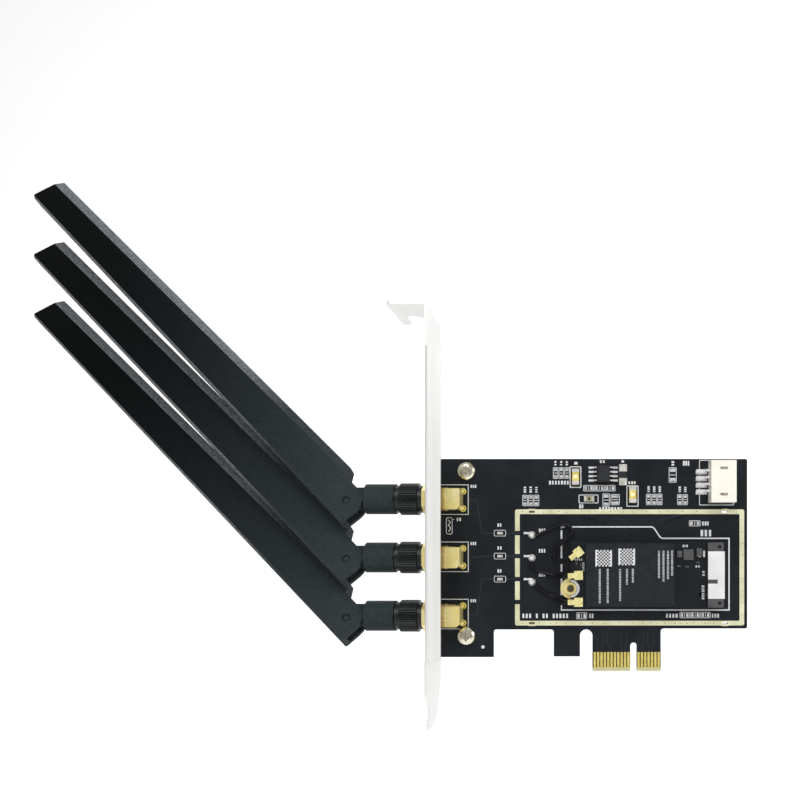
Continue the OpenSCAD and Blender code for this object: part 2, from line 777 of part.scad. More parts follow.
module socket_contacts() {
    color([0.86, 0.72, 0.4]) for (i = [0:socket_contact_n - 1])
        on_board() translate([0, socket_contact_z(i) - 0.1, 0]) rotate([90, 0, 0])
            mirror([0, 0, 1]) linear_extrude(0.2) polygon([
                [socket_x + socket_grip + 0.3, module_h + 0.6],
                [socket_x + socket_grip + 0.3, 0.4],
                [socket_x + socket_grip + 0.6, 0],
                [socket_x + socket_d + 0.5, 0],
                [socket_x + socket_d + 0.5, 0.2],
                [socket_x + socket_grip + 0.7, 0.2],
                [socket_x + socket_grip + 0.5, 0.45],
                [socket_x + socket_grip + 0.5, module_h + 0.6]
            ]);
}

module socket_cover() {
    cover_z = [socket_z[0] + 2.6, socket_z[1] - 2.6];
    color([0.93, 0.93, 0.93]) on_board() difference() {
        union() {
            translate([0, 0, socket_h - 0.15])
                box_between(socket_x, socket_x + socket_d, cover_z[0], cover_z[1], 0.3);
            translate([0, 0, 1.2])
                box_between(socket_x + socket_d, socket_x + socket_d + 0.25,
                    cover_z[0], cover_z[1], socket_h - 1.05);
        }
        translate([socket_x - 1, cover_z[0] + 4.4, socket_h - 0.5]) cube([3.8, 1.2, 1]);
    }
}

// Coaxial leads from the module to the feed lines, with a plug on one end and solder on the other

module pigtail_plug(i) {
    color([0.9, 0.82, 0.52]) on_board(plug_h) translate([plug_x, plug_z[i], 0])
        rotate(plug_turn[i]) difference() {
            union() {
                cylinder(d = 2.3, h = 1.0);
                translate([-1.15, -1.3, 0.3]) cube([2.5, 2.6, 0.75]);
                translate([-plug_bore, -0.75, 0.35]) cube([plug_bore - 0.8, 1.5, 1.2]);
            }
            translate([0, 0, -0.01]) cylinder(d = 1.54, h = 0.63);
            translate([-plug_bore - 0.01, 0, plug_axis_h]) rotate([0, 90, 0])
                cylinder(d = cable_d + 0.1, h = 1.2);
        }
}

// Each braid is held by a cone of solder, and each core lies on the pad of its feed line
module solder_joints() {
    pad = [2.4, 0.6, 0.35];
    color([0.8, 0.8, 0.82]) for (i = [0:2]) on_board() {
        translate([joint_x, joint_z[i], 0]) cylinder(d1 = joint_d, d2 = 1.3, h = 1.1);
        translate([joint_x - pad[0], feed_z(i) - pad[1] / 2, 0]) cube(pad);
    }
}

function feed_z(i) = ring_gap_top - i * ring_gap_pitch;

// The lead leaves its solder joint and enters its plug in a straight line
function joint_exit(i, d) =
    [joint_x + d * cos(joint_turn[i]), 0.65, joint_z[i] + d * sin(joint_turn[i])];
function plug_entry(i, d) = [
    plug_x - d * cos(plug_turn[i]),
    plug_h + plug_axis_h,
    plug_z[i] - d * sin(plug_turn[i])
];

// Routes as [x, height above the board, z], from the solder to the plug
loop_top = [
    [-26.8, 0.6, 41.2], [-25.0, 0.6, 42.0], [-23.2, 0.6, 42.9], [-21.6, 0.8, 43.5],
    [-20.0, 1.0, 43.5], [-18.7, 1.2, 42.8], [-18.1, 1.4, 41.6], [-18.5, 1.6, 40.4],
    [-19.7, 1.7, 39.3], [-21.1, 1.8, 38.2], [-22.5, 1.9, 36.9], [-23.6, 2.0, 35.5],
    [-23.9, 2.2, 34.1], [-23.2, 2.6, 32.9], [-21.9, 3.2, 32.4], [-20.7, 3.9, 32.5]
];
loop_middle = [
    [-29.9, 0.6, 30.9], [-28.9, 0.6, 30.0], [-27.2, 0.6, 29.4], [-25.4, 0.7, 29.0],
    [-23.7, 1.0, 28.6], [-22.2, 1.9, 28.4], [-21.2, 3.0, 28.4], [-20.4, 4.0, 28.5]
];
loop_bottom = [
    [-27.8, 0.6, 24.5], [-26.5, 0.6, 23.6], [-25.1, 0.6, 22.8], [-23.6, 0.9, 22.0],
    [-22.3, 1.8, 21.4], [-21.3, 2.9, 21.0], [-20.4, 4.0, 20.9]
];

function unit(v) = v / norm(v);
function heading(p, i) = unit(p[min(i + 1, len(p) - 1)] - p[max(i - 1, 0)]);

// One ring of points round a route; up is the board's normal, so the tube never twists
function tube_ring(p, i, r, sides) =
    let (along = heading(p, i), across = unit(cross(along, [0, 1, 0])), up = cross(across, along))
    [for (k = [0:sides - 1]) let (a = 360 * k / sides) p[i] + r * (cos(a) * across + sin(a) * up)];

module tube(p, d, sides = 8) {
    n = len(p);
    rings = [for (i = [0:n - 1]) each tube_ring(p, i, d / 2, sides)];
    walls = [for (i = [0:n - 2], k = [0:sides - 1])
        let (a = i * sides + k, b = i * sides + (k + 1) % sides) [a, a + sides, b + sides, b]];
    start_cap = [for (k = [0:sides - 1]) k];
    end_cap = [for (k = [0:sides - 1]) (n - 1) * sides + sides - 1 - k];
    polyhedron(rings, concat([start_cap], walls, [end_cap]));
}

module pigtail_cable(i, loop) {
    start = joint_d / 2 + 0.05;
    route = concat(
        [joint_exit(i, start), joint_exit(i, start + 0.7)],
        loop,
        [plug_entry(i, plug_bore + 0.1), plug_entry(i, plug_bore - 1.1)]
    );
    color([0.12, 0.12, 0.13]) tube([for (p = route) [p[0], front_y - p[1], p[2]]], cable_d);
}

// Right-angle header for the data cable

header_mid = (header_z[0] + header_z[1]) / 2;
function header_pin_z(i) =
    header_mid + header_pin_rise + (i - (header_pins_n - 1) / 2) * header_pitch;

module header_housing() {
    back = 1.6;
    pin_hole = 0.7;
    color([0.95, 0.94, 0.9]) on_board() difference() {
        box_between(header_x, header_x + header_d, header_z[0], header_z[1], header_h);
        translate([header_x + back, header_z[0] + header_wall, header_wall])
            cube([header_d, header_z[1] - header_z[0] - 2 * header_wall,
                header_h - 2 * header_wall]);
        for (i = [0:header_pins_n - 1])
            translate([header_x - 1, header_pin_z(i) - pin_hole / 2, header_h / 2 - pin_hole / 2])
                cube([back + 2, pin_hole, pin_hole]);
        for (z = [header_z[0] + 2.3, header_z[1] - 2.3])
            translate([header_x + 2.6, z - 0.4, header_h - header_wall - 1])
                cube([2.2, 0.8, header_wall + 2]);
        translate([header_x + header_d - 2.2, header_mid - 1.6, -1])
            cube([3, 3.2, header_wall + 1.01]);
    }
}

module header_pins() {
    pin = 0.64;
    color([0.82, 0.82, 0.83]) for (i = [0:header_pins_n - 1])
        on_board() translate([0, header_pin_z(i), 0]) {
            translate([header_x - 1.1, -pin / 2, header_h / 2 - pin / 2])
                cube([header_d + 0.3, pin, pin]);
            translate([header_x - 1.1, -pin / 2, 0]) cube([pin, pin, header_h / 2 + pin / 2]);
            translate([header_x - 3.5, -0.55, 0]) cube([3.05, 1.1, 0.3]);
        }
}

// Regulator in a gull-wing package, and the other soldered parts

regulator_at = [-9.0, 58.6];
regulator_size = [3.9, 4.9, 1.5];
regulator_span = 6.4;

module regulator_body() {
    color([0.1, 0.1, 0.11]) on_board(0.12) translate([regulator_at[0], regulator_at[1], 0])
        difference() {
            translate([-regulator_size[0] / 2, -regulator_size[1] / 2, 0])
                cube(regulator_size);
            for (side = [-1, 1])
                translate([side * regulator_size[0] / 2, 0, regulator_size[2]])
                    rotate([0, 45, 0]) cube([0.5, 6, 0.5], center = true);
            translate([-1.2, 1.6, regulator_size[2] - 0.1]) cylinder(d = 0.7, h = 1, $fn = 24);
        }
}

module regulator_leads() {
    lead = 0.2;
    foot = 0.6;
    color([0.8, 0.8, 0.8]) on_board() translate([regulator_at[0], regulator_at[1], 0])
        for (side = [0, 1], i = [0:3]) mirror([side, 0, 0])
            translate([0, (i - 1.5) * 1.27 - 0.2, 0]) rotate([90, 0, 0]) mirror([0, 0, 1])
                linear_extrude(0.4) polygon([
                    [regulator_size[0] / 2, 0.9], [regulator_span / 2 - foot, 0.9],
                    [regulator_span / 2 - foot, lead], [regulator_span / 2, lead],
                    [regulator_span / 2, 0], [regulator_span / 2 - foot - lead, 0],
                    [regulator_span / 2 - foot - lead, 0.9 - lead],
                    [regulator_size[0] / 2, 0.9 - lead]
                ]);
}

module bulk_capacitors() {
    color([0.78, 0.7, 0.5]) on_board() {
        capped_chip(-17.2, 57.7, [4.7, 2.1, 1.7], 90);
        capped_chip(-0.3, 52.4, [4.8, 2.1, 1.7], 90);
    }
}

module ferrite_bead() {
    color([0.3, 0.3, 0.31]) on_board() capped_chip(-3.15, 58.3, [6.2, 2.3, 1.2], 90, 0.34);
}

module fuse() {
    color([0.7, 0.7, 0.66]) on_board() capped_chip(-13.2, 51.2, [3.0, 1.6, 0.8]);
}

module coupling_capacitors() {
    color([0.62, 0.56, 0.48]) on_board()
        for (i = [0:2]) capped_chip(-39.6, ring_gap_top - i * ring_gap_pitch, [1.6, 0.8, 0.7]);
}

// Antennas: a paddle blade on a fork hinge, a swivelling base and a plug with a knurled nut

module blade_outline() {
    tip_cut = 1.0;
    blade_heel = hinge_reach - heel_gap;
    circle(nose_r);
    polygon([
        [-blade_heel, blade_low[0]],
        [blade_len - tip_cut, blade_low[1]],
        [blade_len, blade_low[1] + tip_cut],
        [blade_len, blade_high[1]],
        [stop_start + stop_run, blade_high[0]],
        [stop_start, nose_r + 0.05],
        [0, nose_r],
        [-blade_heel, 0]
    ]);
}

// Everything above the bevel plane that runs along the upper side of a blade
module upper_bevel_cut() {
    inner = [blade_high[0] - upper_bevel[0], blade_high[1] - upper_bevel[1]];
    run = atan((inner[1] - inner[0]) / blade_len);
    translate([0, inner[0], blade_t / 2]) rotate([0, 0, run])
        rotate([-atan(upper_bevel_slope), 0, 0])
            translate([-20, -1, 0]) cube([blade_len + 60, 30, 10]);
}

module lower_bevel_cut() {
    run = atan((blade_low[1] - blade_low[0]) / blade_len);
    translate([0, blade_low[0] + lower_bevel, blade_t / 2]) rotate([0, 0, run])
        rotate([45, 0, 0]) translate([-20, -10, 0]) cube([blade_len + 60, 10.2, 10]);
}

module antenna_blade(row) {
    spine = 1.7;
    cavity_w = 6.8;
    cavity_t = 2.0;
    tip_wall = 5;
    color([0.13, 0.14, 0.15]) on_blade(row) difference() {
        translate([0, 0, -blade_t / 2]) linear_extrude(blade_t) blade_outline();
        for (side = [0, 1]) mirror([0, 0, side]) {
            upper_bevel_cut();
            lower_bevel_cut();
        }
        translate([-10, blade_low[0] + spine, -slot_t / 2])
            cube([10 + slot_root, 20, slot_t]);
        translate([slot_root - 1, -cavity_w / 2 + 0.6, -cavity_t / 2])
            cube([blade_len - tip_wall - slot_root + 1, cavity_w, cavity_t]);
        cylinder(d = pin_d, h = 2 * blade_t, center = true);
    }
}

module radiator(row) {
    color([0.2, 0.4, 0.3]) on_blade(row)
        translate([slot_root + 4, -3.2 + 0.6, 0.2]) cube([blade_len * 0.7, 6.4, 0.8]);
}

module hinge_pin(row) {
    color([0.3, 0.31, 0.32]) on_blade(row)
        cylinder(d = pin_d, h = blade_t - 0.4, center = true);
}

module antenna_base(row) {
    neck_x = pin_x + 1;
    color([0.15, 0.16, 0.17]) on_swivel(row) difference() {
        union() {
            bar(base_d, base_end, base_start);
            translate([neck_x, -knuckle_t / 2, -neck_h / 2])
                cube([base_end - neck_x + 1, knuckle_t, neck_h]);
            translate([pin_x, 0, -hinge_drop]) rotate([90, 0, 0])
                cylinder(r = knuckle_r, h = knuckle_t, center = true);
        }
        translate([pin_x, 0, -hinge_drop]) rotate([90, 0, 0])
            cylinder(d = pin_d + 2 * run_clear, h = blade_t, center = true);
        bar(ferrule_d, base_start - ferrule_depth, base_start + 1);
    }
}

module plug_ferrule(row) {
    color([0.86, 0.7, 0.36]) on_swivel(row) difference() {
        union() {
            bar(ferrule_d, base_start - ferrule_depth, ferrule_flange_x);
            bar(barrel_d - 0.35, ferrule_flange_x, ferrule_flange_x + ferrule_flange_t);
            bar(counterbore_d - 2 * run_clear, ferrule_flange_x, plug_face);
        }
        bar(dielectric_d - 0.1, base_start - ferrule_depth - 1, plug_face + 1);
    }
}

module plug_insert(row) {
    color([0.95, 0.95, 0.93]) on_swivel(row) difference() {
        bar(dielectric_d - 0.1, base_start - ferrule_depth, plug_face - 0.1);
        bar(1.5, base_start - ferrule_depth - 1, plug_face + 1);
    }
}

module plug_contact(row) {
    color([0.9, 0.75, 0.4]) on_swivel(row) difference() {
        bar(1.5, base_start - ferrule_depth, plug_face - 0.2);
        bar(contact_d + 2 * run_clear, plug_face - 3.2, plug_face + 1);
    }
}

module knurl_section() {
    difference() {
        circle(d = knurl_d, $fn = 96);
        for (i = [0:knurl_count - 1]) rotate(i * 360 / knurl_count)
            translate([knurl_d / 2, 0]) rotate(45)
                square(knurl_depth * sqrt(2), center = true);
    }
}

module coupling_nut(row) {
    knurl_start = nut_back_end + nut_back[1];
    knurl_end = nut_open_end - nut_front[1];
    color([0.16, 0.17, 0.17]) at_jack(row) difference() {
        union() {
            bar(nut_bore_d + 2 * nut_front[0], knurl_end - 0.1, nut_open_end);
            translate([knurl_start, 0, 0]) rotate([0, 90, 0])
                linear_extrude(knurl_end - knurl_start) knurl_section();
            bar(nut_bore_d + 2 * nut_back[0], nut_back_end, knurl_start + 0.1);
        }
        bar(nut_bore_d, nut_back_end + nut_wall, nut_open_end + 1);
        bar(ferrule_d + 0.2, nut_back_end - 1, nut_back_end + nut_wall + 1);
    }
}

circuit_board();
edge_contacts();
ground_ring();
bracket();
bracket_screws();
jack_body(top_row);  // jack_body_top
jack_body(middle_row);  // jack_body_middle
jack_body(bottom_row);  // jack_body_bottom
jack_inserts();
jack_contacts();
jack_nuts();
jack_washers();
module_board();
module_shield();
module_chips();
module_receptacles();
module_standoff();
socket_housing();
socket_cover();
socket_contacts();
pigtail_plug(0);  // pigtail_plug_top
pigtail_plug(1);  // pigtail_plug_middle
pigtail_plug(2);  // pigtail_plug_bottom
pigtail_cable(0, loop_top);  // pigtail_cable_top
pigtail_cable(1, loop_middle);  // pigtail_cable_middle
pigtail_cable(2, loop_bottom);  // pigtail_cable_bottom
solder_joints();
header_housing();
header_pins();
regulator_body();
regulator_leads();
bulk_capacitors();
ferrite_bead();
fuse();
coupling_capacitors();
antenna_blade(top_row);  // antenna_blade_top
antenna_blade(middle_row);  // antenna_blade_middle
antenna_blade(bottom_row);  // antenna_blade_bottom
radiator(top_row);  // radiator_top
radiator(middle_row);  // radiator_middle
radiator(bottom_row);  // radiator_bottom
hinge_pin(top_row);  // hinge_pin_top
hinge_pin(middle_row);  // hinge_pin_middle
hinge_pin(bottom_row);  // hinge_pin_bottom
antenna_base(top_row);  // antenna_base_top
antenna_base(middle_row);  // antenna_base_middle
antenna_base(bottom_row);  // antenna_base_bottom
plug_ferrule(top_row);  // plug_ferrule_top
plug_ferrule(middle_row);  // plug_ferrule_middle
plug_ferrule(bottom_row);  // plug_ferrule_bottom
plug_insert(top_row);  // plug_insert_top
plug_insert(middle_row);  // plug_insert_middle
plug_insert(bottom_row);  // plug_insert_bottom
plug_contact(top_row);  // plug_contact_top
plug_contact(middle_row);  // plug_contact_middle
plug_contact(bottom_row);  // plug_contact_bottom
coupling_nut(top_row);  // coupling_nut_top
coupling_nut(middle_row);  // coupling_nut_middle
coupling_nut(bottom_row);  // coupling_nut_bottom
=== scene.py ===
"""Looks of a desktop expansion card with a wireless module and three hinged antennas.

Lengths on the card are in millimetres, and MM turns them into metres. The camera, the lights, the
backdrop and the limits inside materials are in metres. The board faces -Y, so prints and pads are
drawn as plans in X and Z, at a height above the front face of the board.
"""

import json
import math
import random

import bmesh
import bpy
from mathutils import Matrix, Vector


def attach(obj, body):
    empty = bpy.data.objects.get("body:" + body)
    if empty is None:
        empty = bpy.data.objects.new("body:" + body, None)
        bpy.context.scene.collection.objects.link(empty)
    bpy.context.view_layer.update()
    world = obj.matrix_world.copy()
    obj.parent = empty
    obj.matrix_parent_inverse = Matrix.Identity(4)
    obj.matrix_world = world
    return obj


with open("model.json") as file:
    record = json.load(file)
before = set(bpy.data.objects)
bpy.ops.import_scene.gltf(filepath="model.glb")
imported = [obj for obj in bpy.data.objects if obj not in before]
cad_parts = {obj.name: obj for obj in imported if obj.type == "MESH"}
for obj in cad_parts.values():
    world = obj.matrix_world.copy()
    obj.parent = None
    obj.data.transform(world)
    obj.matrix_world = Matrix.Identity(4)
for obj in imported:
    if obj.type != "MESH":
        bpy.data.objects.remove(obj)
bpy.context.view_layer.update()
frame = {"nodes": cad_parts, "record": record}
bpy.context.scene.view_settings.view_transform = "Standard"

MM = 0.001
rng = random.Random(7)

# Places and sizes that the CAD gives. Plans use (X, Z), rows run from top to bottom, and LEAN
# and TILT are in degrees.
FACE_Y = -0.8
REAR_Y = 0.8
ROWS = ["top", "middle", "bottom"]
JACK_Z = [50.9, 33.9, 16.9]
JACK_Y = -4.3
JACK_LEG_X = (-50.7, -55.78)
JACK_PIN_X = -53.24
JACK_LEG_DZ = 2.54
LEAD_JOINT_Z = (41.05, 34.22, 27.39)
RING_Z = (14.3, 47.4)
CAPACITORS = ((-17.2, 57.7, 4.7), (-0.3, 52.4, 4.8))
STANDOFF = (-18.6, 24.8)
EDGE_TONGUES = ((-12.15, -1.0), (1.0, 8.05))
EDGE_BEVEL = (1.2, 0.45)
FINGER_X = [-1.5 - i for i in range(11)] + [1.5 + i for i in range(7)]
LEAN = [25.6, 27.5, 29.6]
TILT = [45.1, 44.1, 43.1]
PIN_X = -83.25
PIN_DROP = 1.6
PIN_FACE = 2.3

# Heights above the front face of the board; the bead's and the fuse's are between their ends
MODULE_H = 3.3
LABEL_H = 4.6
CAPACITOR_H = 1.7
BEAD_H = 1.16
FUSE_H = 0.76
MODULE_CHIP_H = MODULE_H + 0.7
STANDOFF_H = MODULE_H + 0.3
RING_H = 0.06

# How far thin layers stand off the face that they lie on
FILL_LIFT = 0.005
TRACE_LIFT = 0.012
HOLE_LIFT = 0.015
PAD_LIFT = 0.02
PRINT_LIFT = 0.03

# Parts that aren't fitted, by their outlines: (left, right, low, high)
UPRIGHT_PARTS = (
    [(x, x + 1.55, 49.1, 52.4) for x in (-33.0, -31.3, -29.6)]
    + [(x, x + 1.5, 57.2, 60.6) for x in (-23.9, -22.2, -20.5)]
    + [(-9.2, -7.1, 48.9, 52.8), (-6.8, -4.1, 49.4, 52.6)]
    + [(x, x + 1.5, 49.4, 52.7) for x in (3.75, 5.4, 7.05)]
    + [(x, x + 1.5, 49.4, 52.6) for x in (13.0, 14.65)]
    + [(10.5, 12.8, 56.1, 60.6)])
FLAT_PARTS = (
    [(x, x + 3.1, 53.5, 55.3) for x in (-14.9, -11.7, -8.5)]
    + [(16.5, 19.9, 43.1, 44.8), (-17.0, -13.8, 15.5, 17.5)]
    + [(x, x + 3.0, 15.8, 17.6) for x in (13.7, 16.8, 19.9)])
PART_INSET = 0.35


# Camera: level, looking along +Y, with the frame shifted off its axis as in the photograph.
# The vertical fit sets the view. The narrow sensor width only makes other views stand back.

camera_data = bpy.data.cameras.new("camera")
camera_data.sensor_fit = "VERTICAL"
camera_data.sensor_height = 36
camera_data.sensor_width = 28
camera_data.lens = 30.735
camera_data.shift_x = -0.22875
camera_data.shift_y = 0.175
camera_data.clip_start = 0.01
camera_data.clip_end = 20
camera = bpy.data.objects.new("camera", camera_data)
camera.location = (-0.015, -0.2038, 0.039)
camera.rotation_euler = (math.radians(90), 0, 0)
bpy.context.scene.collection.objects.link(camera)
bpy.context.scene.camera = camera


# Shader nodes

def blank(name):
    """A material with one principled shader: (material, node tree, shader)."""
    m = bpy.data.materials.new(name)
    m.use_nodes = True
    tree = m.node_tree
    tree.nodes.clear()
    out = tree.nodes.new("ShaderNodeOutputMaterial")
    shader = tree.nodes.new("ShaderNodeBsdfPrincipled")
    tree.links.new(shader.outputs["BSDF"], out.inputs["Surface"])
    return m, tree, shader


def noise(tree, scale, detail, stretch=(1, 1, 1)):
    """Noise in the card's frame; scale is in features per metre."""
    where = tree.nodes.new("ShaderNodeTexCoord")
    mapping = tree.nodes.new("ShaderNodeMapping")
    mapping.inputs["Scale"].default_value = stretch
    grain = tree.nodes.new("ShaderNodeTexNoise")
    grain.inputs["Scale"].default_value = scale
    grain.inputs["Detail"].default_value = detail
    tree.links.new(where.outputs["Object"], mapping.inputs["Vector"])
    tree.links.new(mapping.outputs["Vector"], grain.inputs["Vector"])
    return grain.outputs["Fac"]


def along_x(tree, source):
    """The X part of a texture coordinate, such as Object (a place) or Normal (a direction)."""
    where = tree.nodes.new("ShaderNodeTexCoord")
    parts = tree.nodes.new("ShaderNodeSeparateXYZ")
    tree.links.new(where.outputs[source], parts.inputs["Vector"])
    return parts.outputs["X"]


def mix(tree, factor, a, b):
    """A colour between a and b, each a colour or a socket."""
    node = tree.nodes.new("ShaderNodeMix")
    node.data_type = "RGBA"
    tree.links.new(factor, node.inputs[0])
    for socket, value in ((node.inputs[6], a), (node.inputs[7], b)):
        if isinstance(value, bpy.types.NodeSocket):
            tree.links.new(value, socket)
        else:
            socket.default_value = (*value, 1)
    return node.outputs[2]


def remap(tree, value, low, high, start=0.3, end=0.7):
    """Low to high while the value goes from start to end; noise fills 0.3 to 0.7."""
    node = tree.nodes.new("ShaderNodeMapRange")
    node.inputs["From Min"].default_value = start
    node.inputs["From Max"].default_value = end
    node.inputs["To Min"].default_value = low
    node.inputs["To Max"].default_value = high
    tree.links.new(value, node.inputs["Value"])
    return node.outputs["Result"]


def tones(tree, field, dark, light):
    """Two close tones laid out by a noise."""
    return mix(tree, remap(tree, field, 0, 1), dark, light)


def math_node(tree, operation, a, b=0.0):
    node = tree.nodes.new("ShaderNodeMath")
    node.operation = operation
    for socket, value in zip(node.inputs, (a, b)):
        if isinstance(value, bpy.types.NodeSocket):
            tree.links.new(value, socket)
        else:
            socket.default_value = value
    return node.outputs[0]


def bump(tree, shader, height, strength, distance=0.00003):
    node = tree.nodes.new("ShaderNodeBump")
    node.inputs["Strength"].default_value = strength
    node.inputs["Distance"].default_value = distance
    tree.links.new(height, node.inputs["Height"])
    tree.links.new(node.outputs["Normal"], shader.inputs["Normal"])


# Materials

def material(name, dark, light, rough, metal=0.0, scale=400, stretch=(1, 1, 1),
             grain=3000, relief=0.15, depth=0.00003, specular=0.5):
    """Two close tones and two roughnesses laid out by one noise, and a relief by a finer one."""
    m, tree, shader = blank(name)
    tone = noise(tree, scale, detail=4, stretch=stretch)
    tree.links.new(tones(tree, tone, dark, light), shader.inputs["Base Color"])
    tree.links.new(remap(tree, tone, *rough), shader.inputs["Roughness"])
    shader.inputs["Metallic"].default_value = metal
    shader.inputs["Specular IOR Level"].default_value = specular
    bump(tree, shader, noise(tree, grain, detail=2, stretch=stretch), relief, depth)
    return m


def antenna_plastic():
    """Black plastic: smooth faces with a painted sheen, greyer towards the hinge, and grained
    bevels and edges made lighter by a painted highlight.
    """
    m, tree, shader = blank("antenna_plastic")
    tip_x, hinge_x = -0.205, -0.085
    bright_edge_x, dim_edge_x = -0.125, -0.105
    face_turn, edge_turn = 0.08, 0.14
    place = along_x(tree, "Object")
    tone = noise(tree, 900, detail=5)
    speck = noise(tree, 1500, detail=3)
    # Painted sheen: the faces grow greyer towards the hinge, where they would reflect more light.
    hinge_sheen = math_node(tree, "POWER", remap(tree, place, 0, 1, tip_x, hinge_x), 2.2)
    face = mix(tree, hinge_sheen,
               tones(tree, tone, (0.0008, 0.0012, 0.0015), (0.002, 0.0026, 0.003)),
               tones(tree, tone, (0.025, 0.033, 0.035), (0.033, 0.042, 0.044)))
    # Painted highlight on the bevels and edges, lighter and more speckled towards the tip.
    edge = mix(tree, remap(tree, place, 0, 1, bright_edge_x, dim_edge_x),
               tones(tree, speck, (0.060, 0.066, 0.070), (0.21, 0.22, 0.23)),
               tones(tree, speck, (0.026, 0.032, 0.034), (0.048, 0.056, 0.058)))
    # Faces turned along X take the painted edge highlight instead of the face's colour.
    turned = math_node(tree, "ABSOLUTE", along_x(tree, "Normal"))
    edge_highlight_mask = remap(tree, turned, 0, 1, face_turn, edge_turn)
    tree.links.new(mix(tree, edge_highlight_mask, face, edge), shader.inputs["Base Color"])
    tree.links.new(remap(tree, tone, 0.36, 0.5), shader.inputs["Roughness"])
    shader.inputs["Specular IOR Level"].default_value = 0.03
    bump(tree, shader, noise(tree, 4200, detail=2), strength=0.12)
    return m


def jack_brass():
    """Turned and milled brass, bright on its faces, and browner with painted shade in the corner
    by the bracket.
    """
    m, tree, shader = blank("jack_brass")
    bracket_x = (-0.0590, -0.0586)
    block_x = (-0.0556, -0.0546)
    place = along_x(tree, "Object")
    tone = noise(tree, 260, detail=3)
    bright = tones(tree, tone, (0.97, 0.80, 0.28), (1.0, 0.90, 0.46))
    shaded_brown = tones(tree, tone, (0.36, 0.22, 0.06), (0.62, 0.42, 0.14))
    # Painted shadow of the bracket: browner between the bracket and the block.
    corner = math_node(tree, "MULTIPLY", remap(tree, place, 1, 0, *block_x),
                       remap(tree, place, 0, 1, *bracket_x))
    tree.links.new(mix(tree, corner, bright, shaded_brown), shader.inputs["Base Color"])
    tree.links.new(remap(tree, tone, 0.2, 0.3), shader.inputs["Roughness"])
    shader.inputs["Metallic"].default_value = 0.55
    bump(tree, shader, noise(tree, 900, detail=2), strength=0.03)
    return m


